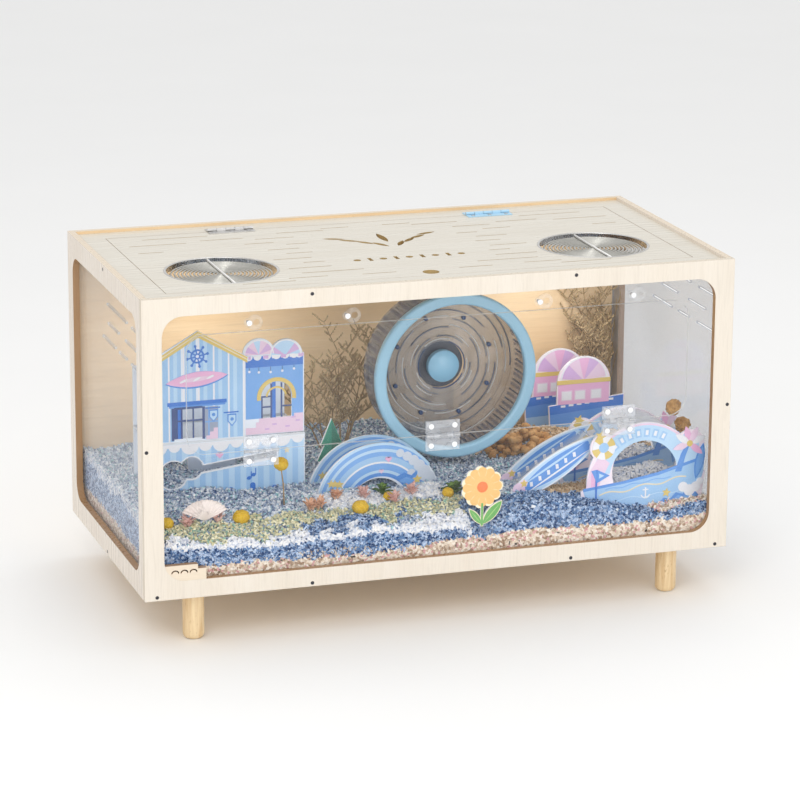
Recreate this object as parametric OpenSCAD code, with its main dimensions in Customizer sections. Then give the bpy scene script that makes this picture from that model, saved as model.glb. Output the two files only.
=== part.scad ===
// Hamster cage: plywood box on round legs, with a vented flap lid, a clear drop-down
// front door, a running wheel and a set of flat acrylic scenery.
// Origin: centre of the footprint on the floor. +X right, +Y back, +Z up.

/* [Box] */
// Width of the box, left to right
box_w = 800; // [796:1:810]
// Depth of the box, front to back
box_d = 410; // [408:1:420]
// Height of the box without its legs
box_h = 395; // [393:1:405]
// Thickness of the plywood
ply = 9; // [8:0.5:9]
// Width of the front frame's rails
front_rail = 24; // [22:1:26]
// Width of the side frames' rails
side_rail = 28; // [26:1:32]
// Corner radius of the front window
window_r = 27; // [20:1:30]
// Depth of the top board below the rim
top_recess = 4; // [3:0.5:5]

/* [Legs] */
// Height of the legs
leg_h = 65; // [50:1:90]
// Diameter of the legs
leg_d = 28; // [24:1:34]
// Leg axis from the side of the box
leg_inset_x = 72; // [50:1:90]
// Leg axis from the front or back of the box
leg_inset_y = 34; // [28:1:60]

/* [Clear panes] */
// Thickness of the clear acrylic
pane_t = 3; // [2.5:0.5:3]
// Width of the front door
door_w = 680; // [640:1:690]
// Height of the front door
door_h = 156; // [140:1:158]
// Height of the door's hinge axis above the box's underside
door_axis_z = 186; // [184:1:188]
// Gap round the door
door_gap = 0.8; // [0.6:0.1:1]
// Length of each clear hinge
door_hinge_l = 46; // [40:1:50]

/* [Lid] */
// Width of the flap lid
lid_w = 714; // [700:1:720]
// Front edge of the lid
lid_front_y = -163; // [-166:1:-160]
// Hinge line of the lid
lid_axis_y = 160.5; // [158:0.5:162]
// Saw gap round the lid
lid_gap = 0.8; // [0.6:0.1:1.2]
// Radius of the vent holes
vent_r = 75; // [70:1:78]
// Distance of the vents from the middle
vent_x = 257; // [250:1:262]
// Radius of the finger hole
finger_r = 11; // [9:0.5:12]

/* [Wheel] */
// Outer radius of the front ring
wheel_r = 114; // [105:1:114]
// Wheel axis from the middle of the cage
wheel_x = 76; // [70:1:80]
// Wheel axis above the box's underside
wheel_z = 216; // [214:1:220]
// Number of treads inside the drum
treads = 48; // [24:1:60]

/* [Scenery] */
// Thickness of the printed scenery boards
board_t = 3; // [2:0.5:3]
// Depth of the bedding above the floor board
bed_depth = 43; // [30:1:43]

/* [Hidden] */
$fn = 64;

half_w = box_w / 2;
half_d = box_d / 2;
in_w = half_w - ply;
in_d = half_d - ply;
top_z = box_h - top_recess;
pane_y = -in_d;
bed_z = ply + bed_depth;
hair = 0.4;

// fasteners
case_screw_r = 1.75;
case_head_r = 2.4;
case_head_t = 2;
case_screw_l = 26;
front_screw_x = [178, 384];
floor_screw_z = ply / 2;
top_screw_z = top_z - 2.8;
stud_r = 4;
stud_low = 15;
stud_high = 6;

// lid and its hinges
lid_t = ply - hair;
lid_hinge_l = 64;
lid_hinge_x = [-185, 185];
lid_hinge_leaf = 14;
lid_hinge_t = 1.2;
lid_knuckle_r = 2.3;
lid_pin_r = 1.3;
lid_axis_h = 2.4;
lid_screw_r = 1.5;
lid_screw_x = [-24, 0, 24];
lid_screw_y = 9;
lid_screw_l = 6;
vent_y = -60;

// clear door hinges, rivets and turn tabs
door_hinge_x = [-244, 0, 244];
door_hinge_leaf = 20;
door_hinge_t = 2.5;
door_knuckle_r = 3.2;
door_pin_r = 1.5;
door_axis_h = 3.4;
rivet_r = 2.2;
rivet_head_r = 3.6;
rivet_head_t = 1.2;
rivet_x = [-16, 16];
rivet_z = 13;
door_r = 24;
tab_x = [-259.5, -130, 130, 259.5];
tab_z = 355;
tab_gap = 0.6;
tab_pin_r = 2;
running = 0.06;

// wheel, measured along its axis with the front positive
ring_front = 32;
ring_back = 20;
disc_back = -34.5;
disc_front = -32;
drum_r = 110;
drum_wall = 2;
wall_in = drum_r - drum_wall;
ridge_radii = [40, 52, 64, 76, 88, 98];
boss_r = 15;
race_r = 11;
race_back = -31;
race_front = -24;
axle_r = 4;
plate_back = -44;
plate_front = -38;
plate_r = 32;
foot_w = 110;
foot_d = 90;
foot_y = 25;
foot_t = 4;

// scenery places: front face of each board, measured from the middle of the cage
house_y = -47;
house_back_y = 50;
deck_z = 158;
house_left = -350;
house_right = -141;
wave_y = [-85, -45];
wave_at = [-51, 60];
wave_r = 88;
ramp_y = [-150, -102];
ramp_at = [172, 112];
ramp_tilt = 31;
boat_y = [-165, -85];
boat_at = [294, 90];
ship_y = [110, 160];

// ---------- helpers ----------

// lifts a piece from the box's underside to its height above the floor
module lifted() {
    translate([0, 0, leg_h]) children();
}

module round_rect(w, h, r) {
    square([w - 2 * r, h], center = true);
    square([w, h - 2 * r], center = true);
    for (sx = [-1, 1], sy = [-1, 1])
        translate([sx * (w / 2 - r), sy * (h / 2 - r)]) circle(r);
}

// an upright board: its outline is drawn in X and Z, its front face is at y
module upright(y, t) {
    translate([0, y + t, leg_h]) rotate([90, 0, 0]) linear_extrude(t) children();
}

// a board in the Y-Z plane: its outline is drawn in Y and Z, its left face is at x
module sideways(x, t) {
    translate([x, 0, leg_h]) rotate([90, 0, 90]) linear_extrude(t) children();
}

// a hole or shaft along Y
module along_y(x, y0, y1, z, r) {
    translate([x, y1, leg_h + z]) rotate([90, 0, 0]) cylinder(h = y1 - y0, r = r);
}

// a hole or shaft along X
module along_x(x0, x1, y, z, r) {
    translate([x0, y, leg_h + z]) rotate([0, 90, 0]) cylinder(h = x1 - x0, r = r);
}

module lens(length, width) {
    big_r = (length * length + width * width) / (4 * width);
    shift = big_r - width / 2;
    intersection() {
        translate([0, shift]) circle(big_r, $fn = 160);
        translate([0, -shift]) circle(big_r, $fn = 160);
    }
}

// ---------- casework ----------

module case_screw_set() {
    for (sx = [-1, 1]) {
        for (x = front_screw_x) case_screw_front(sx * x, floor_screw_z);
        case_screw_front(sx * front_screw_x[0], top_screw_z);
        case_screw_front(sx * (half_w - ply / 2), box_h / 2);
        for (z = [floor_screw_z, top_screw_z]) case_screw_side(sx, z);
    }
}

module case_screw_front(x, z) {
    along_y(x, -half_d, -half_d + case_screw_l, z, case_screw_r);
    along_y(x, -half_d, -half_d + case_head_t, z, case_head_r);
}

module case_screw_side(sx, z) {
    shank = sx < 0 ? [-half_w, -half_w + case_screw_l] : [half_w - case_screw_l, half_w];
    head = sx < 0 ? [-half_w, -half_w + case_head_t] : [half_w - case_head_t, half_w];
    along_x(shank[0], shank[1], 0, z, case_screw_r);
    along_x(head[0], head[1], 0, z, case_head_r);
}

module leg_places() {
    for (sx = [-1, 1], sy = [-1, 1])
        translate([sx * (half_w - leg_inset_x), sy * (half_d - leg_inset_y), 0]) children();
}

module stud_holes() {
    leg_places() translate([0, 0, leg_h - stud_low]) cylinder(h = stud_low + stud_high, r = stud_r);
}

module floor_board() {
    color("burlywood") difference() {
        lifted() translate([-in_w, -in_d, 0]) cube([2 * in_w, 2 * in_d, ply]);
        case_screw_set();
        stud_holes();
    }
}

module back_board() {
    color("tan") lifted() translate([-in_w, in_d, 0]) cube([2 * in_w, ply, box_h]);
}

module side_frame(x) {
    length = box_d - ply;
    color("bisque") difference() {
        sideways(x, ply) difference() {
            translate([-in_d, 0]) square([length, box_h]);
            translate([0, box_h / 2]) round_rect(box_d - 2 * side_rail, box_h - 2 * side_rail, 24);
        }
        case_screw_set();
    }
}

module side_left() {
    side_frame(-half_w);
}

module side_right() {
    side_frame(half_w - ply);
}

module front_window() {
    translate([0, box_h / 2]) round_rect(box_w - 2 * front_rail - 4, box_h - 2 * front_rail, window_r);
}

module front_frame() {
    color("antiquewhite") difference() {
        upright(-half_d, ply) difference() {
            translate([-half_w, 0]) square([box_w, box_h]);
            front_window();
        }
        case_screw_set();
    }
}

// stepped tab in the lower left corner of the window, with three curved slots
module corner_tab() {
    left = -half_w + front_rail;
    color("wheat") upright(-half_d, ply) difference() {
        intersection() {
            front_window();
            union() {
                translate([left, 0]) square([57, front_rail + 15]);
                translate([left, 0]) square([46, front_rail + 21]);
            }
        }
        for (i = [0:2]) translate([left + 16 + 12 * i, front_rail + 9]) curved_slot(5);
    }
}

module curved_slot(r) {
    intersection() {
        difference() {
            circle(r + 0.8);
            circle(r - 0.8);
        }
        translate([-r, 1]) square([2 * r, r]);
    }
}

module top_board() {
    color("antiquewhite") difference() {
        lifted() translate([0, 0, top_z - ply]) linear_extrude(ply) difference() {
            square([2 * in_w, 2 * in_d], center = true);
            lid_outline(lid_gap);
        }
        case_screw_set();
        lid_screw_row(1, lid_screw_l, lid_screw_r);
    }
}

module lid_outline(gap) {
    back_y = lid_axis_y - lid_gap / 2 + gap;
    translate([-lid_w / 2 - gap, lid_front_y - gap])
        square([lid_w + 2 * gap, back_y - lid_front_y + gap]);
}

// rail under the top board on which the lid's front edge rests
module lid_ledge() {
    ledge_w = 640;
    ledge_d = 22;
    lap = 7;
    color("burlywood") lifted() translate([-ledge_w / 2, lid_front_y + lap - ledge_d, top_z - 2 * ply])
        cube([ledge_w, ledge_d, ply]);
}

// ---------- clear panes ----------

// vent slits of a side pane: start and end along Y for each row's height
slit_rows = [
    [337, [[-171, -113], [-86, 19]]],
    [312, [[-138, -79], [-41, 15]]],
    [288, [[-174, -110], [-83, -45], [-23, 45]]]
];
slit_w = 3;

module side_pane(x) {
    low = ply + hair;
    high = top_z - ply - hair;
    color("lightcyan", 0.4) sideways(x, pane_t) difference() {
        translate([-in_d + pane_t + hair, low]) square([2 * (in_d - hair) - pane_t, high - low]);
        for (row = slit_rows, s = row[1])
            translate([s[0], row[0] - slit_w / 2]) square([s[1] - s[0], slit_w]);
    }
}

module side_pane_left() {
    side_pane(-in_w);
}

module side_pane_right() {
    side_pane(in_w - pane_t);
}

module door_outline(gap) {
    low = door_axis_z + door_gap / 2;
    translate([0, low + door_h / 2])
        round_rect(door_w + 2 * gap, door_h + 2 * gap, door_r + gap);
}

module front_pane() {
    low = ply + hair;
    high = top_z - ply - hair;
    color("lightcyan", 0.4) difference() {
        upright(pane_y, pane_t) difference() {
            translate([-in_w + hair, low]) square([2 * (in_w - hair), high - low]);
            door_outline(door_gap);
        }
        rivet_set(-1, rivet_r, 0);
        tab_pin_set(0);
    }
}

// ---------- legs ----------

module legs() {
    foot_r = 7;
    r = leg_d / 2;
    color("burlywood") difference() {
        leg_places() rotate_extrude() {
            translate([0, foot_r]) square([r, leg_h - foot_r]);
            square([r - foot_r, foot_r]);
            translate([r - foot_r, foot_r]) intersection() {
                circle(foot_r);
                translate([0, -foot_r]) square([foot_r, foot_r]);
            }
        }
        stud_holes();
    }
}

module leg_studs() {
    color("silver") stud_holes();
}

module case_screws() {
    color("dimgray") case_screw_set();
}

// ---------- hinges ----------

// One leaf of a butt hinge with five knuckles. The axis lies along X at the origin, the
// leaf lies at z = -axis_h on the side given by side, and keeps the knuckles whose number
// has the parity own.
module hinge_leaf(l, leaf, t, r, bore, axis_h, side, own) {
    pitch = l / 5;
    slack = 0.35;
    start = r + hair;
    difference() {
        union() {
            for (i = [own:2:4]) translate([-l / 2 + i * pitch + slack, 0, 0]) {
                rotate([0, 90, 0]) cylinder(h = pitch - 2 * slack, r = r);
                translate([0, side > 0 ? 0 : -start, -axis_h]) cube([pitch - 2 * slack, start, axis_h]);
            }
            translate([-l / 2, side > 0 ? start : -leaf, -axis_h]) cube([l, leaf - start, t]);
        }
        translate([-l / 2 - 1, 0, 0]) rotate([0, 90, 0]) cylinder(h = l + 2, r = bore);
    }
}

module at_lid_hinges() {
    for (x = lid_hinge_x) translate([x, lid_axis_y, leg_h + top_z + lid_axis_h]) children();
}

module at_door_hinges() {
    for (x = door_hinge_x)
        translate([x, pane_y - door_axis_h, leg_h + door_axis_z]) rotate([90, 0, 0]) children();
}

module lid_leaf(side, own, bore) {
    hinge_leaf(lid_hinge_l, lid_hinge_leaf, lid_hinge_t, lid_knuckle_r, bore, lid_axis_h, side, own);
}

module door_leaf(side, own, bore) {
    hinge_leaf(door_hinge_l, door_hinge_leaf, door_hinge_t, door_knuckle_r, bore, door_axis_h, side, own);
}

module lid_hinge_fixed() {
    color("silver") difference() {
        at_lid_hinges() lid_leaf(1, 0, lid_pin_r);
        lid_screw_row(1, lid_screw_l, lid_screw_r);
    }
}

module lid_hinge_moving() {
    color("silver") difference() {
        at_lid_hinges() lid_leaf(-1, 1, lid_pin_r + running);
        lid_screw_row(-1, lid_screw_l, lid_screw_r);
    }
}

module door_hinge_fixed() {
    color("white", 0.5) difference() {
        at_door_hinges() door_leaf(-1, 0, door_pin_r);
        rivet_set(-1, rivet_r, 0);
    }
}

module door_hinge_moving() {
    color("white", 0.5) difference() {
        at_door_hinges() door_leaf(1, 1, door_pin_r + running);
        rivet_set(1, rivet_r, 0);
    }
}

module hinge_pins() {
    color("gainsboro") {
        at_lid_hinges() rotate([0, 90, 0]) cylinder(h = lid_hinge_l, r = lid_pin_r, center = true);
        at_door_hinges() rotate([0, 90, 0]) cylinder(h = door_hinge_l, r = door_pin_r, center = true);
    }
}

// screws through one side's leaves, from the leaf's top face down into the board
module lid_screw_row(side, depth, r) {
    for (hx = lid_hinge_x, sx = lid_screw_x)
        translate([hx + sx, lid_axis_y + side * lid_screw_y, leg_h + top_z - depth])
            cylinder(h = depth + lid_hinge_t, r = r);
}

module lid_screw_heads(side) {
    head_r = 2.7;
    head_t = 0.7;
    lid_screw_row(side, lid_screw_l, lid_screw_r);
    for (hx = lid_hinge_x, sx = lid_screw_x)
        translate([hx + sx, lid_axis_y + side * lid_screw_y, leg_h + top_z + lid_hinge_t])
            cylinder(h = head_t, r = head_r);
}

module lid_screws_fixed() {
    color("gray") lid_screw_heads(1);
}

module lid_screws_moving() {
    color("gray") lid_screw_heads(-1);
}

// rivets through leaf and pane on one side of the hinge line, with heads when head_r > 0
module rivet_set(side, r, head_r) {
    out_y = pane_y - door_hinge_t;
    in_y = pane_y + pane_t;
    for (hx = door_hinge_x, rx = rivet_x) {
        along_y(hx + rx, out_y, in_y, door_axis_z + side * rivet_z, r);
        if (head_r > 0) {
            along_y(hx + rx, out_y - rivet_head_t, out_y, door_axis_z + side * rivet_z, head_r);
            along_y(hx + rx, in_y, in_y + rivet_head_t, door_axis_z + side * rivet_z, head_r);
        }
    }
}

module pane_rivets() {
    color("white") rivet_set(-1, rivet_r, rivet_head_r);
}

module door_rivets() {
    color("white") rivet_set(1, rivet_r, rivet_head_r);
}

// ---------- front door and its turn tabs ----------

module door_panel() {
    color("lightcyan", 0.4) difference() {
        upright(pane_y, pane_t) door_outline(0);
        rivet_set(1, rivet_r, 0);
    }
}

module tab_pin_set(head_r) {
    tab_out = pane_y - tab_gap - pane_t;
    for (x = tab_x) {
        along_y(x, tab_out - tab_gap, pane_y + pane_t, tab_z, tab_pin_r);
        if (head_r > 0) along_y(x, tab_out - tab_gap - 2, tab_out - tab_gap, tab_z, head_r);
    }
}

module tab_pins() {
    color("white") tab_pin_set(3.5);
}

// teardrop tab with a finger ring, turned sideways so that the door is free
module turn_tab(x) {
    ring_r = 10;
    reach = 8;
    neck_r = 6;
    color("white", 0.5) upright(pane_y - tab_gap - pane_t, pane_t) translate([x, tab_z]) difference() {
        union() {
            circle(neck_r);
            translate([0, -neck_r]) square([reach, 2 * neck_r]);
            translate([reach, 0]) circle(ring_r);
        }
        circle(tab_pin_r + running);
        translate([reach + 2, 0]) circle(4.5);
    }
}

module turn_tab_1() {
    turn_tab(tab_x[0]);
}

module turn_tab_2() {
    turn_tab(tab_x[1]);
}

module turn_tab_3() {
    turn_tab(tab_x[2]);
}

module turn_tab_4() {
    turn_tab(tab_x[3]);
}

// ---------- lid ----------

// decorative saw slits of the lid's right half: middle x, middle y and length
lid_slits = [
    [44, 138, 40], [96, 128, 66], [268, 138, 90], [210, 112, 60], [300, 104, 78],
    [140, 100, 54], [168, 76, 40], [120, 60, 30], [146, 34, 44], [132, 8, 36],
    [150, -22, 52], [128, -48, 30], [142, -76, 58], [120, -104, 84], [160, -128, 52],
    [66, -132, 46], [216, -142, 70], [320, 62, 34]
];
slit_cut = 1.6;

module lid_motif() {
    // leaf sprig: pairs of lens-shaped cuts along a stem
    for (i = [0:3], s = [-1, 1])
        translate([s * (14 + 17 * i), 24 + 16 * i]) rotate(s * (62 - 14 * i)) lens(32, 8);
    translate([0, 62]) rotate(90) lens(52, 10);
    // row of plain marks
    for (i = [-4:2:4]) translate([i * 18, -56]) circle(5);
    for (i = [-3:2:3]) translate([i * 18, -56]) square([5, 16], center = true);
}

module lid_board() {
    color("antiquewhite") difference() {
        lifted() translate([0, 0, top_z - lid_t]) linear_extrude(lid_t) difference() {
            lid_outline(0);
            for (s = [-1, 1]) translate([s * vent_x, vent_y]) circle(vent_r, $fn = 120);
            translate([0, lid_front_y + 18]) circle(finger_r);
            for (s = [-1, 1], c = lid_slits)
                translate([s * c[0], c[1]]) square([c[2], slit_cut], center = true);
            lid_motif();
        }
        lid_screw_row(-1, lid_screw_l, lid_screw_r);
    }
}

// steel fan guard: rings on a cross rod inside a thin collar
module vent_grille(x) {
    ring_w = 2;
    ring_t = 1.6;
    pitch = 7;
    color("silver") lifted() translate([x, vent_y, top_z - lid_t]) {
        difference() {
            cylinder(h = lid_t, r = vent_r, $fn = 120);
            translate([0, 0, -1]) cylinder(h = lid_t + 2, r = vent_r - 1.5, $fn = 120);
        }
        translate([0, 0, 3]) {
            for (i = [1:9]) difference() {
                cylinder(h = ring_t, r = pitch * i + ring_w / 2);
                translate([0, 0, -1]) cylinder(h = ring_t + 2, r = pitch * i - ring_w / 2);
            }
            translate([-ring_w / 2, 1 - vent_r, 0]) cube([ring_w, 2 * vent_r - 2, ring_t]);
        }
    }
}

module vent_grille_left() {
    vent_grille(-vent_x);
}

module vent_grille_right() {
    vent_grille(vent_x);
}

// ---------- wheel ----------

// the wheel's own frame: z runs along the axis, positive towards the front
module at_wheel() {
    translate([wheel_x, 0, leg_h + wheel_z]) rotate([90, 0, 0]) children();
}

module tube(r0, r1, z0, z1) {
    translate([0, 0, z0]) difference() {
        cylinder(h = z1 - z0, r = r1, $fn = 160);
        translate([0, 0, -1]) cylinder(h = z1 - z0 + 2, r = r0, $fn = 160);
    }
}

module wheel_drum() {
    ridge_h = 1.5;
    color("lightsteelblue", 0.5) at_wheel() rotate_extrude($fn = 160) {
        translate([wall_in, disc_back]) square([drum_wall, ring_back - disc_back]);
        translate([8, disc_back]) square([drum_r - 8, disc_front - disc_back]);
        for (r = ridge_radii) translate([r, disc_back]) square([2, disc_front + ridge_h - disc_back]);
        translate([race_r, disc_back]) square([boss_r - race_r, race_front - disc_back]);
    }
}

// bars that the animal's feet grip, just inside the drum's wall
module wheel_treads() {
    tread_h = 2;
    color("slategray") at_wheel() for (i = [0:treads - 1]) rotate(i * 360 / treads)
        translate([wall_in - tread_h - 0.1, -1, disc_front + 0.1])
            cube([tread_h, 2, ring_back - disc_front - 0.2]);
}

module wheel_ring() {
    edge_r = 4;
    inner = 98;
    width = wheel_r - inner;
    depth = ring_front - ring_back;
    color("skyblue") at_wheel() rotate_extrude($fn = 160)
        translate([inner + width / 2, ring_back + depth / 2]) round_rect(width, depth, edge_r);
}

// domed cap over the hub, hollow for the bearing boss and the axle's head
module wheel_hub_cap() {
    cap_r = 22;
    cap_wall = 2;
    rim_z = disc_front + 9;
    dome_r = 40;
    color("skyblue") at_wheel() rotate_extrude($fn = 96) difference() {
        cap_profile(cap_r, rim_z, dome_r);
        cap_profile(cap_r - cap_wall, rim_z - cap_wall, dome_r);
    }
}

module cap_profile(r, rim_z, dome_r) {
    sag = dome_r - sqrt(dome_r * dome_r - r * r);
    translate([0, disc_front]) square([r, rim_z - disc_front]);
    intersection() {
        translate([0, rim_z + sag - dome_r]) circle(dome_r, $fn = 160);
        translate([0, rim_z]) square([r, sag]);
    }
}

module bearing_outer() {
    color("silver") at_wheel() tube(9, race_r, race_back, race_front);
}

module bearing_inner() {
    color("silver") at_wheel() tube(axle_r, 6, race_back, race_front);
}

module bearing_balls() {
    balls = 7;
    color("gray") at_wheel() for (i = [0:balls - 1]) rotate(i * 360 / balls)
        translate([7.5, 0, (race_back + race_front) / 2]) sphere(r = 1.45, $fn = 32);
}

module wheel_axle() {
    color("gray") at_wheel() {
        translate([0, 0, plate_back]) cylinder(h = race_front - plate_back, r = axle_r);
        translate([0, 0, race_front]) cylinder(h = 3, r = 5.5);
    }
}

module wheel_stand() {
    drop = wheel_z - bed_z - foot_t;
    color("darkslateblue") at_wheel() difference() {
        translate([0, 0, plate_back]) {
            cylinder(h = plate_front - plate_back, r = plate_r);
            translate([-20, -drop, 0]) cube([40, drop, plate_front - plate_back]);
        }
        translate([0, 0, plate_back - 1]) cylinder(h = 8, r = axle_r);
    }
}

module wheel_foot() {
    color("lightsteelblue") translate([wheel_x, foot_y, leg_h + bed_z]) linear_extrude(foot_t)
        round_rect(foot_w, foot_d, 12);
}

// ---------- scenery ----------

module house_front() {
    eave_z = 263;
    base = deck_z + board_t;
    wall = [house_left + 4, house_left + 128];
    roof = [house_left - 4, house_left + 132];
    color("lightblue") upright(house_y, board_t) difference() {
        polygon([[wall[0], base], [wall[1], base], [wall[1], eave_z], [roof[1], eave_z],
            [roof[1], eave_z + 6], [-286, 309], [roof[0], eave_z + 8], [roof[0], eave_z], [wall[0], eave_z]]);
        translate([-319, base + 4]) square([38, 42]);
    }
}

module tower_front() {
    base = deck_z + board_t;
    color("cornflowerblue") upright(house_y + board_t + hair, board_t) difference() {
        union() {
            translate([-224, base]) square([83, 108]);
            translate([-203, 270]) circle(22);
            translate([-166, 266]) circle(23);
        }
        translate([-200, base + 22]) square([42, 28]);
        translate([-179, base + 50]) circle(21);
    }
}

module stage_board() {
    color("lightblue") upright(house_y, board_t) difference() {
        translate([house_left, bed_z]) square([house_right - house_left, deck_z - bed_z]);
        translate([-321, 116]) circle(19);
        translate([-296, 124]) circle(15);
        translate([-290, 116]) rotate(7) square([112, 9]);
    }
}

module house_deck() {
    color("lightcyan", 0.5) lifted() translate([house_left, house_y, deck_z])
        cube([house_right - house_left, house_back_y - house_y, board_t]);
}

module house_back() {
    color("lightblue") upright(house_back_y, board_t) difference() {
        translate([house_left, bed_z]) square([house_right - house_left, 190]);
        for (x = [-320, -210]) translate([x, bed_z]) square([44, 60]);
    }
}

module layered_tree() {
    tiers = [[24, 88, 134], [20, 108, 150], [15, 130, 166]];
    color("seagreen") upright(-14, 4) translate([-94, 0]) {
        for (t = tiers) polygon([[-t[0], t[1]], [t[0], t[1]], [0, t[2]]]);
        translate([-5, bed_z]) square([10, 40]);
    }
}

module wave_outline() {
    difference() {
        circle(wave_r, $fn = 120);
        circle(40);
        translate([-100, bed_z - wave_at[1] - 100]) square([200, 100]);
    }
}

module wave_arch_panels() {
    color("cornflowerblue") for (y = wave_y) upright(y, board_t) translate(wave_at) wave_outline();
}

module wave_tunnel() {
    length = wave_y[1] - wave_y[0] - board_t;
    color("lightcyan", 0.5) upright(wave_y[0] + board_t, length) translate(wave_at) difference() {
        circle(43);
        circle(40);
        translate([-50, -100]) square([100, 100 + bed_z - wave_at[1]]);
    }
}

module ship_outline() {
    polygon([[266, bed_z], [366, bed_z], [376, 131], [262, 121]]);
    translate([274, 118]) square([80, 38]);
    translate([314, 150]) circle(40);
}

module ship_panels() {
    color("orchid") for (i = [0, 1])
        upright(ship_y[i], board_t) translate([-18 * i, 0]) ship_outline();
}

module ramp_boards() {
    color("royalblue") for (y = ramp_y)
        upright(y, board_t) translate(ramp_at) rotate(ramp_tilt) lens(168, 36);
}

module ramp_deck() {
    width = ramp_y[1] - ramp_y[0] - board_t;
    color("lightcyan", 0.5) upright(ramp_y[0] + board_t, width) translate(ramp_at)
        rotate(ramp_tilt) square([136, board_t], center = true);
}

module boat_outline() {
    difference() {
        union() {
            translate(boat_at) circle(80, $fn = 120);
            translate([237, 140]) circle(19);
            translate([361, 134]) circle(21);
            polygon([[208, bed_z], [378, bed_z], [384, 96], [344, 104], [206, 82]]);
        }
        translate([296, 104]) circle(46);
        translate([150, 0]) square([300, bed_z]);
    }
    polygon([[240, bed_z], [350, bed_z], [350, 94], [240, 88]]);
}

module boat_arch_panels() {
    color("lightskyblue") for (y = boat_y) upright(y, board_t) boat_outline();
}

module boat_roof() {
    length = boat_y[1] - boat_y[0] - board_t;
    color("lightcyan", 0.5) upright(boat_y[0] + board_t, length) translate(boat_at) intersection() {
        difference() {
            circle(79, $fn = 120);
            circle(76, $fn = 120);
        }
        polygon([[0, 0], [90, 30], [90, 90], [-38, 90]]);
    }
}

module flower_sign() {
    petals = 11;
    color("sandybrown") upright(-182, board_t) {
        translate([61, 106]) {
            circle(23);
            for (i = [0:petals - 1]) rotate(i * 360 / petals) translate([22, 0]) circle(7);
        }
        translate([59, bed_z]) square([4, 36]);
        translate([75, 70]) rotate(48) lens(42, 15);
        translate([52, 66]) rotate(128) lens(30, 10);
    }
}

// dried twigs: two fans of thin sticks
module twigs() {
    stick_r = 1.5;
    color("peru") {
        for (i = [-4:4]) translate([-56 + 6 * i, 66, leg_h + bed_z]) rotate([-2, 2.2 * i - 3, 0])
            cylinder(h = 216 - 7 * abs(i), r = stick_r);
        for (i = [-3:3]) translate([352 + 4 * i, 178, leg_h + bed_z]) rotate([0, 1.2 * i - 3, 0])
            cylinder(h = 232 - 9 * abs(i), r = stick_r);
    }
}

module biscuits() {
    spots = [[352, 176, 13], [366, 151, 13], [376, 129, 9.5]];
    color("chocolate") for (s = spots) along_y(s[0], -134, -116, s[1], s[2]);
}

module nuts() {
    nut_r = 8;
    color("peru") for (row = [0:2], i = [0:5 - row])
        translate([142 + 17 * i + 8.5 * row, 12 + 17 * row, leg_h + bed_z + nut_r])
            sphere(r = nut_r, $fn = 32);
}

module bedding() {
    side = in_w - pane_t - hair;
    front = in_d - pane_t - 2 * rivet_head_t;
    color("slategray") lifted() translate([-side, -front, ply])
        cube([2 * side, front + in_d - hair, bed_depth]);
}

floor_board();
back_board();
side_left();
side_right();
front_frame();
corner_tab();
top_board();
lid_ledge();
side_pane_left();
side_pane_right();
front_pane();
legs();
leg_studs();
case_screws();
lid_hinge_fixed();
hinge_pins();
lid_screws_fixed();
door_hinge_fixed();
pane_rivets();
tab_pins();
lid_board();
vent_grille_left();
vent_grille_right();
lid_hinge_moving();
lid_screws_moving();
door_panel();
door_hinge_moving();
door_rivets();
turn_tab_1();
turn_tab_2();
turn_tab_3();
turn_tab_4();
wheel_drum();
wheel_treads();
wheel_ring();
wheel_hub_cap();
bearing_outer();
bearing_balls();
bearing_inner();
wheel_axle();
wheel_stand();
wheel_foot();
house_front();
tower_front();
stage_board();
house_deck();
house_back();
layered_tree();
wave_arch_panels();
wave_tunnel();
ship_panels();
ramp_boards();
ramp_deck();
boat_arch_panels();
boat_roof();
flower_sign();
twigs();
biscuits();
nuts();
bedding();
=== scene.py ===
"""Looks of the hamster cage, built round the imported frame. Metres, +X right, +Y back, +Z up."""
import math
import random

import bmesh
import bpy
import numpy as np
from mathutils import Matrix, Vector, noise


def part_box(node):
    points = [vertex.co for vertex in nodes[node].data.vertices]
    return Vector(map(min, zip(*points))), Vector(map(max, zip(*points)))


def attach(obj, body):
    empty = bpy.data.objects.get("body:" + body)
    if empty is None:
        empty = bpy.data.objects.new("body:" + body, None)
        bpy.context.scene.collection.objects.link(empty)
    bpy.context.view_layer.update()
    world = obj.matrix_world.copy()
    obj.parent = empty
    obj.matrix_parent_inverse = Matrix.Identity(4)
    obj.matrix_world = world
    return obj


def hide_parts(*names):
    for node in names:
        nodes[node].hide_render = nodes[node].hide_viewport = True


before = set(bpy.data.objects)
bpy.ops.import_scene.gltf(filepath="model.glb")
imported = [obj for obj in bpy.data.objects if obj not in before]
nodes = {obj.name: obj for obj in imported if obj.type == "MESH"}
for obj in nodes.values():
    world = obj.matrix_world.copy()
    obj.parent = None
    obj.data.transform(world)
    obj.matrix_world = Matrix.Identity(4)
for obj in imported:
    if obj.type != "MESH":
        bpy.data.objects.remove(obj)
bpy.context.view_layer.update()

MM = 0.001


def low_of(node):
    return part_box(node)[0]


def high_of(node):
    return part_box(node)[1]


def middle_of(node):
    return [(a + b) / 2 for a, b in zip(*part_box(node))]


BOX_BASE = low_of("front_frame").z
BOX_TOP = high_of("front_frame").z
BOX_MIDDLE = (BOX_BASE + BOX_TOP) / 2
HALF_W = high_of("front_frame").x
BACK = high_of("back_board").y

CAMERA_PLACE = (-1.3994, -4.2812, 1.4948)
CAMERA_TURNS = (-18.18, 15.5, 0.38)  # azimuth, elevation and roll in degrees
CAMERA_LENS = 156.3


# ---------- camera, floor and light ----------

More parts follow.
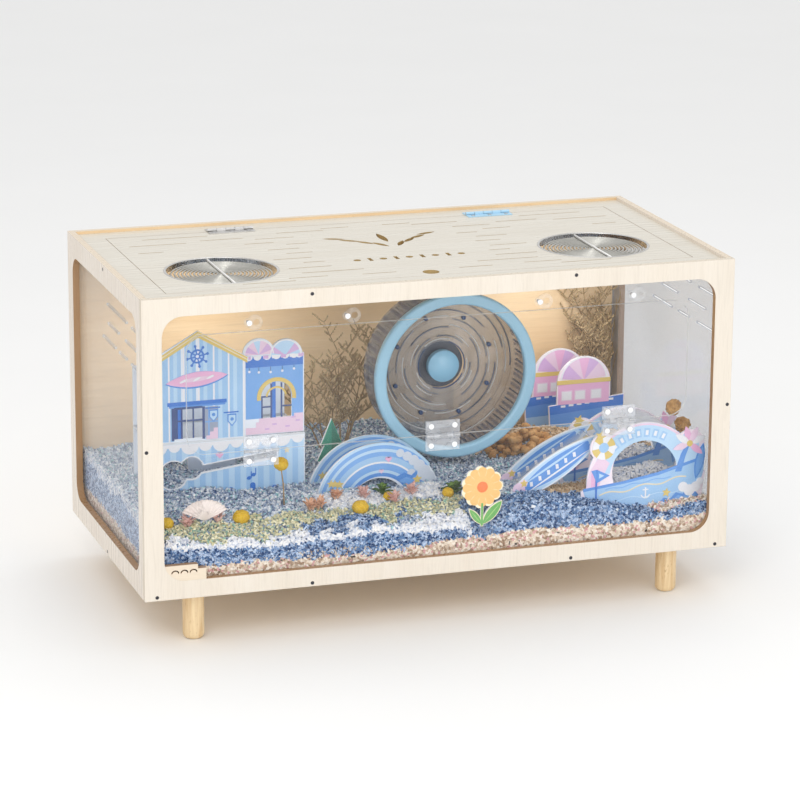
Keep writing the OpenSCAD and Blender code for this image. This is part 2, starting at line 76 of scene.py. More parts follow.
def make_camera():
    azimuth, elevation, roll = (math.radians(turn) for turn in CAMERA_TURNS)
    forward = Vector((
        -math.sin(azimuth) * math.cos(elevation),
        math.cos(azimuth) * math.cos(elevation),
        -math.sin(elevation),
    ))
    right = forward.cross(Vector((0, 0, 1))).normalized()
    up = right.cross(forward)
    right_rolled = right * math.cos(roll) + up * math.sin(roll)
    up_rolled = up * math.cos(roll) - right * math.sin(roll)
    data = bpy.data.cameras.new("camera")
    data.lens = CAMERA_LENS
    data.sensor_width = 36
    data.clip_end = 50
    camera = bpy.data.objects.new("camera", data)
    turn = Matrix((right_rolled, up_rolled, -forward)).transposed()
    camera.matrix_world = Matrix.Translation(CAMERA_PLACE) @ turn.to_4x4()
    bpy.context.collection.objects.link(camera)
    bpy.context.scene.camera = camera


def area_light(name, place, target, size, power, colour=(1, 1, 1)):
    data = bpy.data.lights.new(name, "AREA")
    data.shape = "DISK"
    data.size = size
    data.energy = power
    data.color = colour
    light = bpy.data.objects.new(name, data)
    light.location = place
    light.visible_camera = False
    light.rotation_euler = (Vector(target) - Vector(place)).to_track_quat("-Z", "Y").to_euler()
    bpy.context.collection.objects.link(light)
    return light


def make_studio():
    world = bpy.data.worlds.new("studio")
    world.use_nodes = True
    background = world.node_tree.nodes["Background"]
    background.inputs["Color"].default_value = (1, 1, 1, 1)
    background.inputs["Strength"].default_value = 0.86
    bpy.context.scene.world = world
    bpy.context.scene.view_settings.view_transform = "Standard"

    area_light("key", (-1.6, -2.6, 2.4), (0, 0, 0.25), 1.8, 27, (1, 0.985, 0.96))
    area_light("front", (0.6, -3.4, 0.9), (0, 0, 0.25), 2.2, 20)
    area_light("top", (0.2, 0.3, 2.6), (0, 0, 0.3), 1.6, 9)
    # soft lamps under the lid stand in for the light that finds its way inside
    for number, x in enumerate((-0.24, 0.26)):
        place, target = (x, 0.05, BOX_TOP - 0.1), (x * 0.7, BACK, BOX_BASE + 0.1)
        fill = area_light(f"fill_{number}", place, target, 0.11, 0.22)
        fill.visible_glossy = False

    side = 14
    mesh = bpy.data.meshes.new("floor")
    corners = [(-side, -side, 0), (side, -side, 0), (side, side, 0), (-side, side, 0)]
    mesh.from_pydata(corners, [], [(0, 1, 2, 3)])
    floor = bpy.data.objects.new("floor", mesh)
    bpy.context.collection.objects.link(floor)
    paint = Shader("floor", base=(0.93, 0.93, 0.925), rough=0.7)
    paint.vary(paint.noise(3, detail=2), (0.92, 0.92, 0.915), (0.945, 0.945, 0.94))
    mesh.materials.append(paint.material)


# ---------- materials ----------

SOCKETS = {
    "base": "Base Color", "rough": "Roughness", "metal": "Metallic", "alpha": "Alpha",
    "coat": "Coat Weight", "coat_rough": "Coat Roughness", "specular": "Specular IOR Level",
}


def shaded(tone, factor=1.0, add=0.0):
    """A darker or lighter tone, kept between 0 and 1."""
    return tuple(min(1, max(0, c * factor + add)) for c in tone)


class Shader:
    """A Principled material with short calls that wire its texture nodes."""

    def __init__(self, name, **sockets):
        self.material = bpy.data.materials.new(name)
        self.material.use_nodes = True
        self.tree = self.material.node_tree
        self.surface = self.tree.nodes["Principled BSDF"]
        for key, value in sockets.items():
            if key == "base":
                value = (*value, 1)
            self.surface.inputs[SOCKETS[key]].default_value = value

    def node(self, kind, settings=None, **inputs):
        made = self.tree.nodes.new("ShaderNode" + kind)
        for key, value in (settings or {}).items():
            setattr(made, key, value)
        for key, value in inputs.items():
            socket = made.inputs[int(key[1:]) if key[1:].isdigit() else key]
            if isinstance(value, bpy.types.NodeSocket):
                self.tree.links.new(value, socket)
            else:
                socket.default_value = value
        return made

    def place(self):
        return self.node("TexCoord").outputs["Object"]

    def math(self, operation, a, b=0.0):
        return self.node("Math", {"operation": operation}, i0=a, i1=b).outputs[0]

    def axis(self, vector, name):
        return self.node("SeparateXYZ", Vector=vector).outputs[name]

    def noise(self, scale, detail=4, stretch=(1, 1, 1), rough=0.55, twist=0.0):
        where = self.node("Mapping", Vector=self.place(), Scale=stretch).outputs[0]
        made = self.node("TexNoise", Vector=where, Scale=scale, Detail=detail, Roughness=rough,
                         Distortion=twist)
        return made.outputs["Fac"]

    def between(self, value, low, high):
        """Stretches a value so that low gives 0 and high gives 1."""
        return self.node("MapRange", Value=value, i1=low, i2=high).outputs[0]

    def onto(self, value, low, high):
        """Stretches a value so that 0 gives low and 1 gives high."""
        return self.node("MapRange", Value=value, i3=low, i4=high).outputs[0]

    def facing(self, thin):
        """1 on the faces that look along the axis thin, 0 on the edges."""
        normal = self.axis(self.node("NewGeometry").outputs["Normal"], thin)
        return self.math("GREATER_THAN", self.math("ABSOLUTE", normal), 0.6)

    def blend(self, factor, a, b):
        made = self.node("Mix", {"data_type": "RGBA"}, Factor=factor)
        for socket, value in ((made.inputs[6], a), (made.inputs[7], b)):
            if isinstance(value, bpy.types.NodeSocket):
                self.tree.links.new(value, socket)
            else:
                socket.default_value = (*value, 1)
        return made.outputs[2]

    def set(self, key, socket):
        self.tree.links.new(socket, self.surface.inputs[SOCKETS[key]])

    def vary(self, factor, a, b):
        self.set("base", self.blend(factor, a, b))

    def bump(self, height, depth, strength=1.0, edge=0.0):
        made = self.node("Bump", Height=height, Distance=depth, Strength=strength)
        if edge:
            rounded = self.node("Bevel", {"samples": 4}, Radius=edge)
            self.tree.links.new(rounded.outputs[0], made.inputs["Normal"])
        self.tree.links.new(made.outputs[0], self.surface.inputs["Normal"])


PLY_PAIR = 0.0030  # a light and a dark ply, in metres


def plywood(name, pale, dark, edge, thin, grain, burnt=None, cut_limits=None):
    """Veneer on the faces that look along the axis thin, plies on the edges.
    grain is the axis that the fibres follow. Edges inside cut_limits are burnt by the saw."""
    s = Shader(name, rough=0.5, specular=0.35)
    stretch = {"X": (0.06, 1, 1), "Y": (1, 0.06, 1), "Z": (1, 1, 0.06)}[grain]
    fibre = s.noise(210, detail=6, stretch=stretch, rough=0.6, twist=0.4)
    broad = s.noise(16, detail=3, stretch=tuple(max(v, 0.12) for v in stretch), twist=1.2)
    veneer = s.blend(s.between(broad, 0.3, 0.7), pale, dark)
    veneer = s.blend(s.between(fibre, 0.5, 0.95), veneer, shaded(dark, 0.84))
    plies = s.math("PINGPONG", s.math("MULTIPLY", s.axis(s.place(), thin), 1 / PLY_PAIR), 0.5)
    side = s.blend(s.between(plies, 0.18, 0.32), edge, shaded(edge, 0.84))
    if burnt:
        inside = 1.0
        for axis_name, limit, middle in cut_limits:
            offset = s.math("SUBTRACT", s.axis(s.place(), axis_name), middle)
            near = s.math("LESS_THAN", s.math("ABSOLUTE", offset), limit)
            inside = s.math("MULTIPLY", inside, near)
        side = s.blend(inside, side, burnt)
    s.set("base", s.blend(s.facing(thin), side, veneer))
    s.set("rough", s.between(fibre, 0.0, 1.6))
    s.bump(fibre, 0.00012, 0.5, edge=0.0006)
    return s.material


def legs_wood():
    s = Shader("turned_beech", rough=0.42, coat=0.15)
    fibre = s.noise(160, detail=6, stretch=(1, 1, 0.07), twist=0.6)
    rays = s.noise(700, detail=2, stretch=(1, 1, 0.2))
    colour = s.blend(s.between(fibre, 0.35, 0.7), (0.86, 0.68, 0.42), (0.66, 0.45, 0.23))
    colour = s.blend(s.between(rays, 0.62, 0.75), colour, (0.50, 0.32, 0.15))
    s.set("base", colour)
    s.bump(fibre, 0.0003, 0.5, edge=0.0008)
    return s.material


def clear_sheet(name, tint, face_alpha, edge_alpha, thin):
    """Clear acrylic: nearly invisible faces and bright polished edges."""
    s = Shader(name, base=tint, rough=0.06, coat=0.3)
    smear = s.between(s.noise(9, detail=3, stretch=(1, 1, 0.4)), 0.35, 0.8)
    haze = s.math("MULTIPLY_ADD", smear, 0.02)
    haze.node.inputs[2].default_value = face_alpha
    s.set("alpha", s.onto(s.facing(thin), edge_alpha, haze))
    s.set("rough", s.between(smear, -0.4, 7))
    return s.material


def clear_moulding(name, tint, alpha, rough=0.12):
    """Thick clear plastic: cloudy where it turns away, with faint flow marks."""
    s = Shader(name, base=tint, rough=rough, coat=0.4)
    turn = s.node("LayerWeight", Blend=0.45).outputs["Facing"]
    flow = s.noise(60, detail=3, twist=1.5)
    body = s.onto(turn, alpha, min(1, alpha * 2.4))
    s.set("alpha", s.math("MULTIPLY", body, s.between(flow, -1.0, 0.9)))
    s.set("rough", s.between(flow, -0.2, 3.5))
    s.bump(flow, 0.0003, 0.4, edge=0.0005)
    return s.material


def steel(name, tone, rough, scratch=(1, 1, 1), film=None):
    """Brushed or polished steel. film lays a blue protective film over the part right of x = 0."""
    s = Shader(name, base=tone, metal=1.0, rough=rough)
    lines = s.noise(900, detail=3, stretch=scratch)
    smudge = s.noise(45, detail=3)
    colour = s.blend(s.between(smudge, 0.3, 0.8), tone, shaded(tone, 0.78))
    if film:
        right = s.math("GREATER_THAN", s.axis(s.place(), "X"), 0.0)
        colour = s.blend(right, colour, film)
        s.set("metal", s.math("SUBTRACT", 1.0, s.math("MULTIPLY", right, 0.85)))
    s.set("base", colour)
    s.set("rough", s.onto(lines, rough * 0.7, rough * 1.5))
    s.bump(lines, 0.00008, 0.4, edge=0.0003)
    return s.material


def moulded(name, tone, rough=0.28, speckle=0.03):
    """Solid moulded plastic with a slight orange-peel surface."""
    s = Shader(name, rough=rough, coat=0.25)
    peel = s.noise(420, detail=2)
    cloud = s.noise(14, detail=3)
    s.vary(s.between(cloud, 0.3, 0.7), tone, shaded(tone, add=-speckle))
    s.set("rough", s.onto(peel, rough * 0.8, rough * 1.3))
    s.bump(peel, 0.00006, 0.35, edge=0.0006)
    return s.material


RECESS_R = 0.0325  # radius of the bearing plate behind the hub, near black as painted shade, in metres
WALL_R = 0.1065  # the drum's wall lies beyond this radius
WALL_BARS = 48


def from_axis(s):
    """Distance from the wheel's axis, and the angle round it, inside a material."""
    middle_x, _, middle_z = middle_of("wheel_drum")
    across = s.math("SUBTRACT", s.axis(s.place(), "X"), middle_x)
    above = s.math("SUBTRACT", s.axis(s.place(), "Z"), middle_z)
    squares = s.math("ADD", s.math("MULTIPLY", across, across), s.math("MULTIPLY", above, above))
    return s.math("SQRT", squares), s.math("ARCTAN2", above, across)


def stand_plastic():
    """Navy bearing plate, darkened to near black as painted shade in the hub, on a clear upright."""
    s = Shader("stand_navy_painted_shade", rough=0.25, coat=0.3)
    reach, _ = from_axis(s)
    outside = s.math("GREATER_THAN", reach, RECESS_R)
    # near-black navy: a navy part darkened to paint the shade inside the hub
    plate = s.blend(s.noise(30, detail=3), (0.010, 0.020, 0.055), (0.030, 0.050, 0.110))
    s.set("base", s.blend(outside, plate, (0.70, 0.76, 0.82)))
    s.set("alpha", s.onto(outside, 1.0, 0.10))
    s.bump(s.noise(400, detail=2), 0.00005, 0.3, edge=0.0005)
    return s.material


def drum_plastic():
    """Smoky clear drum, clearest in front of the bearing plate so that the plate's painted shade shows. Its
    wall carries dark stripes where the gripping bars are moulded in."""
    s = Shader("drum_smoke", rough=0.09, coat=0.6)
    reach, angle = from_axis(s)
    wall = s.math("GREATER_THAN", reach, WALL_R)
    wave = s.math("PINGPONG", s.math("MULTIPLY", angle, WALL_BARS / (2 * math.pi)), 0.5)
    stripe = s.math("MULTIPLY", wall, s.between(wave, 0.30, 0.38))
    flow = s.noise(26, detail=3, twist=1.2)
    smoke = s.blend(s.between(flow, 0.3, 0.7), (0.22, 0.23, 0.25), (0.46, 0.47, 0.49))
    s.set("base", s.blend(stripe, smoke, (0.07, 0.12, 0.24)))
    body = s.onto(s.node("LayerWeight", Blend=0.4).outputs["Facing"], 0.40, 0.55)
    recess = s.math("LESS_THAN", reach, RECESS_R)
    body = s.math("MULTIPLY", body, s.onto(recess, 1.0, 0.2))
    s.set("alpha", s.math("MAXIMUM", body, s.math("MULTIPLY", stripe, 0.62)))
    s.set("rough", s.between(flow, -0.2, 5))
    s.bump(flow, 0.0004, 0.4, edge=0.0004)
    return s.material


def ink(name, tone):
    """Printed ink under clear lacquer, with the faint mottle of a flatbed printer."""
    s = Shader(name, rough=0.3, coat=0.5, coat_rough=0.12)
    mottle = s.noise(1500, detail=1)
    cloud = s.noise(30, detail=2)
    colour = s.blend(s.between(cloud, 0.3, 0.7), tone, shaded(tone, add=0.045))
    s.set("base", s.blend(s.between(mottle, 0.45, 0.9), colour, shaded(tone, 0.9)))
    s.bump(mottle, 0.00003, 0.3)
    return s.material


def dress(material, *names):
    """Gives CAD nodes their material."""
    for name in names:
        target = nodes[name]
        if not target.material_slots:
            target.data.materials.append(material)
        for place in target.material_slots:
            place.material = material


def make_materials():
    edge = (0.78, 0.66, 0.51)
    burnt = (0.42, 0.25, 0.13)
    # the lid and top boards get a darker, greyer birch than the front and sides: painted shade on the faces
    # that look up
    birch_top_painted_shade = (0.69, 0.655, 0.575), (0.66, 0.615, 0.53), edge
    tan = (0.90, 0.69, 0.44), (0.80, 0.57, 0.33), edge
    window_height = ("Z", 0.185, BOX_MIDDLE)
    boards = (
        ("front_frame", "birch_front", (0.80, 0.735, 0.645), (0.765, 0.69, 0.59), (0.74, 0.65, 0.52),
         "Y", "Z", burnt, [("X", HALF_W - 0.012, 0), window_height]),
        ("corner_tab", "birch_tab", (0.80, 0.69, 0.55), (0.76, 0.64, 0.50), edge,
         "Y", "X", burnt, [("X", 0.39, 0)]),
        ("side_left side_right", "birch_sides", (0.80, 0.72, 0.63), (0.76, 0.67, 0.57), edge,
         "X", "Z", burnt, [("Y", 0.182, 0.0), window_height]),
        ("lid_board", "birch_lid", *birch_top_painted_shade,
         "Z", "X", (0.50, 0.36, 0.17), [("X", 0.352, 0), ("Y", 0.155, 0)]),
        ("top_board", "birch_top", *birch_top_painted_shade,
         "Z", "X", (0.40, 0.28, 0.17), [("X", 0.37, 0), ("Y", 0.18, 0)]),
        ("back_board", "pine_back", *tan, "Y", "X"),
        ("floor_board", "pine_floor", *tan, "Z", "X"),
        ("lid_ledge", "pine_ledge", *tan, "Z", "X"),
    )
    for names, *look in boards:
        dress(plywood(*look), *names.split())
    dress(legs_wood(), "legs")

    dress(clear_sheet("acrylic_front", (0.93, 0.96, 0.98), 0.008, 0.5, "Y"), "front_pane", "door_panel")
    dress(clear_sheet("acrylic_sides", (0.78, 0.82, 0.88), 0.15, 0.6, "X"), "side_pane_left")
    dress(clear_sheet("acrylic_frosted", (0.52, 0.57, 0.66), 0.30, 0.6, "X"), "side_pane_right")
    dress(clear_sheet("acrylic_deck", (0.86, 0.90, 0.96), 0.22, 0.7, "Z"),
          "house_deck", "ramp_deck", "wheel_foot")
    dress(clear_moulding("moulded_clear", (0.84, 0.87, 0.92), 0.34), "door_hinge_fixed", "door_hinge_moving")
    dress(clear_moulding("moulded_tabs", (0.92, 0.94, 0.96), 0.10),
          *(f"turn_tab_{number}" for number in range(1, 5)))
    dress(clear_moulding("cloudy_sheet", (0.84, 0.88, 0.95), 0.40, 0.3), "wave_tunnel", "boat_roof")

    dress(moulded("ring_blue", (0.36, 0.62, 0.80)), "wheel_ring")
    dress(moulded("cap_blue", (0.32, 0.62, 0.84), 0.2), "wheel_hub_cap")
    dress(stand_plastic(), "wheel_stand")
    dress(drum_plastic(), "wheel_drum")
    treads = Shader("tread_navy", base=(0.10, 0.14, 0.24), rough=0.3)
    treads.set("alpha", treads.onto(treads.noise(40), 0.35, 0.75))
    dress(treads.material, "wheel_treads")
    dress(moulded("white_pins", (0.88, 0.89, 0.91), 0.25), "pane_rivets", "door_rivets", "tab_pins")

    dress(steel("black_oxide", (0.07, 0.07, 0.08), 0.45), "case_screws")
    dress(steel("hinge_steel", (0.62, 0.61, 0.60), 0.32, (0.08, 1, 1), (0.42, 0.66, 0.84)),
          "lid_hinge_fixed", "lid_hinge_moving")
    dress(steel("zinc_plate", (0.66, 0.66, 0.67), 0.3),
          "hinge_pins", "lid_screws_fixed", "lid_screws_moving", "leg_studs", "wheel_axle",
          "bearing_inner", "bearing_outer", "bearing_balls")


INK_TONES = {
    "sky": (0.33, 0.56, 0.85), "sky_light": (0.47, 0.68, 0.90), "blue": (0.09, 0.29, 0.74),
    "strong": (0.03, 0.18, 0.64), "navy": (0.03, 0.07, 0.24), "mid": (0.17, 0.40, 0.82),
    "white": (0.82, 0.83, 0.88), "cloud": (0.60, 0.67, 0.78), "lilac": (0.64, 0.42, 0.72),
    "pink": (0.80, 0.44, 0.68), "blush": (0.80, 0.60, 0.76), "yellow": (0.72, 0.54, 0.15),
    "cream": (0.80, 0.70, 0.50), "grey": (0.32, 0.38, 0.52), "green": (0.004, 0.16, 0.10),
    "green_light": (0.012, 0.25, 0.16), "leaf": (0.13, 0.42, 0.09), "leaf_light": (0.32, 0.60, 0.18),
    "peach": (0.90, 0.53, 0.17), "peach_edge": (0.94, 0.66, 0.33), "orange": (0.92, 0.19, 0.03),
}
_inks = {}


def ink_of(name):
    if name not in _inks:
        _inks[name] = ink("ink_" + name, INK_TONES[name])
    return _inks[name]


# ---------- mesh helpers ----------

def new_piece(name, points, faces, body, materials, picks=None, smooth=False):
    mesh = bpy.data.meshes.new(name)
    mesh.from_pydata([tuple(p) for p in points], [], faces)
    for material in materials:
        mesh.materials.append(material)
    if picks is not None:
        mesh.polygons.foreach_set("material_index", picks)
    if smooth:
        mesh.polygons.foreach_set("use_smooth", [True] * len(mesh.polygons))
    mesh.update()
    piece = bpy.data.objects.new(name, mesh)
    bpy.context.collection.objects.link(piece)
    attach(piece, body)
    return piece


def polar(cx, cz, reach, turn):
    return cx + reach * math.cos(turn), cz + reach * math.sin(turn)


def arc(cx, cz, r, start=0, stop=360, steps=28):
    """Points along a circle, in degrees; a whole turn leaves out its repeated last point."""
    count = steps if abs(stop - start) == 360 else steps + 1
    turns = [math.radians(start + (stop - start) * i / steps) for i in range(count)]
    return [polar(cx, cz, r, turn) for turn in turns]


def band(cx, cz, inner, outer, start, stop, steps=28):
    return arc(cx, cz, outer, start, stop, steps) + arc(cx, cz, inner, stop, start, steps)


def rect(x0, z0, x1, z1):
    return [(x0, z0), (x1, z0), (x1, z1), (x0, z1)]


def turned(outline, cx, cz, angle):
    c, s = math.cos(math.radians(angle)), math.sin(math.radians(angle))
    return [(cx + x * c - z * s, cz + x * s + z * c) for x, z in outline]


def lens(cx, cz, length, width, angle=0, steps=14):
    half = []
    for i in range(steps + 1):
        swell = math.sin(math.pi * i / steps) ** 0.8
        half.append((-length / 2 + length * i / steps, width / 2 * swell))
    return turned(half + [(x, -z) for x, z in reversed(half[1:-1])], cx, cz, angle)


def star(cx, cz, r, angle=90, arms=5):
    tips = []
    for i in range(2 * arms):
        reach = r if i % 2 == 0 else r * 0.48
        tips.append(polar(cx, cz, reach, math.radians(angle + 180 * i / arms)))
    return tips


def heart(cx, cz, r):
    left = arc(cx - r * 0.5, cz, r * 0.52, 200, 10, 8)
    right = arc(cx + r * 0.5, cz, r * 0.52, 170, -20, 8)
    return list(reversed(left + right + [(cx, cz - r * 1.15)]))


def wavy(x0, x1, level, swing, waves, thick, slope):
    """A waving ribbon from x0 to x1."""
    steps = 26

    def height(x):
        t = (x - x0) / (x1 - x0)
        return level + slope * (x - x0) + swing * math.sin(2 * math.pi * waves * t)

    xs = [x0 + (x1 - x0) * i / steps for i in range(steps + 1)]
    upper = [(x, height(x) + thick / 2) for x in reversed(xs)]
    return [(x, height(x) - thick / 2) for x in xs] + upper


PRINT_T = 0.16  # millimetres that one layer of print stands proud
PRINT_STEP = 0.002 / 12  # added for each face laid before, so that no two shapes lie in one plane
PANEL_T = 0.003  # thickness of a scenery panel, in metres


class Artwork:
    """Printed shapes on the front of an upright board, in millimetres from its lower left corner."""

    def __init__(self, name, node, shift=0.0, y=None):
        low = low_of(node)
        self.name = name
        self.left = low.x / MM + shift
        self.bottom = low.z / MM
        self.y = (low.y if y is None else y) / MM
        self.points, self.faces, self.picks, self.used = [], [], [], []

    def shape(self, outline, tone, layer=1):
        if tone not in self.used:
            self.used.append(tone)
        pick = self.used.index(tone)
        area = sum(a[0] * b[1] - b[0] * a[1] for a, b in zip(outline, outline[1:] + outline[:1]))
        if area < 0:
            outline = list(reversed(outline))
        start, count = len(self.points), len(outline)
        proud = PRINT_T * layer + PRINT_STEP * len(self.picks)
        for y in (self.y - proud, self.y):
            self.points += [((self.left + x) * MM, y * MM, (self.bottom + z) * MM) for x, z in outline]
        front = list(range(start, start + count))
        back = [a + count for a in reversed(front)]
        walls = [(b, a, a + count, b + count) for a, b in zip(front, front[1:] + front[:1])]
        self.faces += [front, back, *walls]
        self.picks += [pick] * (2 + count)

    def done(self, slot):
        inks = [ink_of(tone) for tone in self.used]
        new_piece(self.name, self.points, self.faces, "cabinet", inks, self.picks)


def both_panels(name, node, shifts=(0.0, 0.0)):
    """Artwork for the front face of each panel of a pair."""
    low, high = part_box(node)
    for number, y in enumerate((low.y, high.y - PANEL_T)):
        yield Artwork(f"{name}_print_{number + 1}", node, shifts[number], y)


# ---------- printed boards ----------

def board_base(name, tint):
    """The clear board under the print: pale where ink backs it, bright at its cut edge."""
    s = Shader(name, rough=0.18, coat=0.4)
    cloud = s.noise(40, detail=2)
    face = s.blend(s.between(cloud, 0.3, 0.7), tint, shaded(tint, 1.05))
    s.set("base", s.blend(s.facing("Y"), (0.86, 0.89, 0.95), face))
    s.bump(cloud, 0.00005, 0.2, edge=0.0004)
    return s.material


def paint_house():
    art = Artwork("house_print", "house_front")
    wall_left, eave, apex_x, apex = 9.5, 105.0, 68.0, 146.0

    def roof(x):
        reach = apex_x - 1.5 if x < apex_x else 134.5 - apex_x
        return apex - (apex - eave) * abs(x - apex_x) / reach

    hole = (35.0, 4.0, 73.0, 46.0)
    stripe = 5.04
    for i in range(24):
        x0, x1 = wall_left + i * stripe, wall_left + (i + 1) * stripe
        tone = ("sky", "sky_light", "sky", "white")[i % 4]
        if tone == "white":
            left, x0 = x0, x0 + stripe * 0.55
            if x0 < hole[0] or x0 - stripe > hole[2]:
                art.shape([(left, 1), (x0, 1), (x0, roof(x0) - 4), (left, roof(x0) - 4)], "sky", 1)
        foot = hole[3] if x1 > hole[0] + 0.2 and x0 < hole[2] - 0.2 else 1.0
        art.shape([(x0, foot), (x1, foot), (x1, roof(x1) - 4), (x0, roof(x0) - 4)], tone, 1)
    for end in (2.0, 134.5):
        trim = [(apex_x, apex + 1.5), (end, eave + 3), (end, eave - 4.5), (apex_x, apex - 7)]
        art.shape(trim, "yellow", 4)
        trim = [(apex_x, apex - 1), (end, eave + 0.6), (end, eave - 0.9), (apex_x, apex - 2.5)]
        art.shape(trim, "cream", 5)

    wheel_x, wheel_z = 67.0, 114.0
    for start in (0, 180):
        art.shape(band(wheel_x, wheel_z, 7.2, 9.6, start, start + 180, 16), "strong", 3)
        art.shape(band(wheel_x, wheel_z, 2.2, 4.0, start, start + 180, 12), "strong", 3)
    for i in range(8):
        spoke = turned(rect(3.4, -0.9, 13.6, 0.9), wheel_x, wheel_z, 45 * i + 12)
        art.shape(spoke, "strong", 4)
        art.shape(turned(arc(14, 0, 1.9, steps=10), wheel_x, wheel_z, 45 * i + 12), "strong", 4)

    art.shape(lens(66, 82.5, 86, 22, 5), "blue", 3)
    art.shape(lens(66, 83.5, 83, 19.5, 5), "pink", 4)
    art.shape(lens(66, 83.5, 50, 6, 5), "blush", 5)
    for i in range(3):
        art.shape(lens(48 + 18 * i, 82 + 1.6 * i, 12, 3, 25), "white", 6)

    art.shape(rect(26, 49, 106, 54), "strong", 4)
    art.shape(rect(28, 46.5, 104, 49), "blue", 3)
    frame_t = 3.4
    x0, z0, x1, z1 = hole
    for bar in (rect(x0 - frame_t, z0 - 2, x0, z1), rect(x1, z0 - 2, x1 + frame_t, z1),
                rect(x0, z1 - 2, x1, z1 + 1)):
        art.shape(bar, "navy", 3)
    art.shape(rect(x1 + frame_t, 4, 94, 45), "grey", 3)
    art.shape(rect(81, 4, 82.6, 45), "mid", 4)
    art.shape(rect(x1 + frame_t, 24, 94, 25.6), "mid", 4)
    art.shape([(78, 1), (94, 1), (94, 16), (88, 16), (88, 11), (83, 11), (83, 6), (78, 6)], "blush", 5)
    for cx, cz in ((88.0, 33.0), (113.0, 25.0)):
        art.shape(rect(cx - 11, cz + 9.5, cx + 9, cz + 11), "strong", 6)
        shield = [(cx - 6, cz + 8), (cx + 6, cz + 8), (cx + 6, cz - 2), (cx, cz - 9), (cx - 6, cz - 2)]
        art.shape(shield, "blue", 6)
        art.shape([(x * 0.78 + cx * 0.22, z * 0.78 + cz * 0.22) for x, z in shield], "sky_light", 7)
        art.shape(arc(cx, cz + 1, 2.4, steps=12), "blue", 8)
    art.done("printed_blue")

    # the mullions stand in the real opening, in the thickness of the board
    bars = Artwork("house_mullions", "house_front", y=low_of("house_front").y + PANEL_T / 2)
    mid_x, mid_z = (x0 + x1) / 2, (z0 + z1) / 2 + 2
    for bar in (rect(x0 + 9, z0, x0 + 11.5, z1), rect(mid_x + 6, z0, mid_x + 8, z1),
                rect(x0, mid_z, x1, mid_z + 2.2), rect(x0, z0, x0 + 5, z1)):
        bars.shape(bar, "navy", 9)
    bars.shape(rect(x0 + 5, z0, x0 + 9, z1), "strong", 8)
    bars.done("printed_blue")


def paint_tower():
    art = Artwork("tower_print", "tower_front")
    width = 82.4
    hole_l, hole_r, sill, spring = 25.0, 67.0, 22.0, 50.0
    arch_x, arch_r = 46.0, 21.0
    for panel in (rect(1.5, 22, hole_l, 96), rect(hole_r, 22, width, 96)):
        art.shape(panel, "mid", 1)
    crown = arc(arch_x, spring, arch_r, 180, 0, 18)
    art.shape([(hole_l, 96), *crown, (hole_r, 96)], "mid", 1)
    art.shape(rect(1.5, 92, width, 107), "strong", 3)
    for cx in (8, 20, 33, 46, 58, 70, 78):
        art.shape(arc(min(cx, 77), 107, 5.6, 180, 360, 10), "white", 5)
    art.shape(arc(22, 109, 20.5, 0, 180, 22), "blush", 4)
    art.shape(arc(58.5, 105, 21.5, 0, 180, 22), "sky_light", 4)
    for cx, cz, r in ((22, 109, 20), (58.5, 106, 21)):
        for i, (start, stop) in enumerate(((20, 52), (84, 112), (142, 168))):
            art.shape([(cx, cz), *arc(cx, cz, r, start, stop, 8)], ("lilac", "sky_light")[i % 2], 5)
        art.shape(band(cx, cz, r - 1.2, r + 0.6, 2, 178, 20), "white", 6)
    for i in range(7):
        art.shape(rect(4 + 12 * i, 103, 11 + 12 * i, 107.5), ("lilac", "white")[i % 2], 5)
    art.shape(band(arch_x, spring, 21.4, 26.8, -8, 188, 26), "yellow", 4)
    for x in (9, 22, 38, 54, 70):
        swag = 88 - 3.5 * math.sin(math.pi * x / 78)
        art.shape(arc(x, swag, 1.7, steps=10), "white", 4)
        art.shape(rect(x - 0.3, swag + 1.6, x + 0.3, 92), "navy", 3)
    steps = [(1.5, 1), (width, 1), (width, 26), (hole_r + 3, 26), (hole_r + 3, sill), (hole_l - 3, sill),
             (hole_l - 3, 17), (18, 17), (18, 10), (1.5, 10)]
    art.shape(steps, "blush", 3)
    for x, z in ((40, 12), (58, 8), (72, 15), (66, 20), (30, 6)):
        art.shape(rect(x, z, x + 6, z + 2.2), "lilac", 4)
    art.done("printed_blue")

    bars = Artwork("tower_mullions", "tower_front", y=low_of("tower_front").y + PANEL_T / 2)
    for bar in (rect(hole_l, 22, hole_l + 2.2, 50), rect(38, 22, 40.2, 68.5), rect(52, 22, 54.2, 69),
                rect(hole_l, 36, 40, 38), rect(hole_l, 50, 40, 52), rect(52, 36, hole_r, 38)):
        bars.shape(bar, "navy", 9)
    bars.shape(rect(40.2, 22, 45, 70.4), "strong", 8)
    bars.shape(band(arch_x, spring, 12, 14.5, 10, 175, 14), "yellow", 10)
    bars.done("printed_blue")


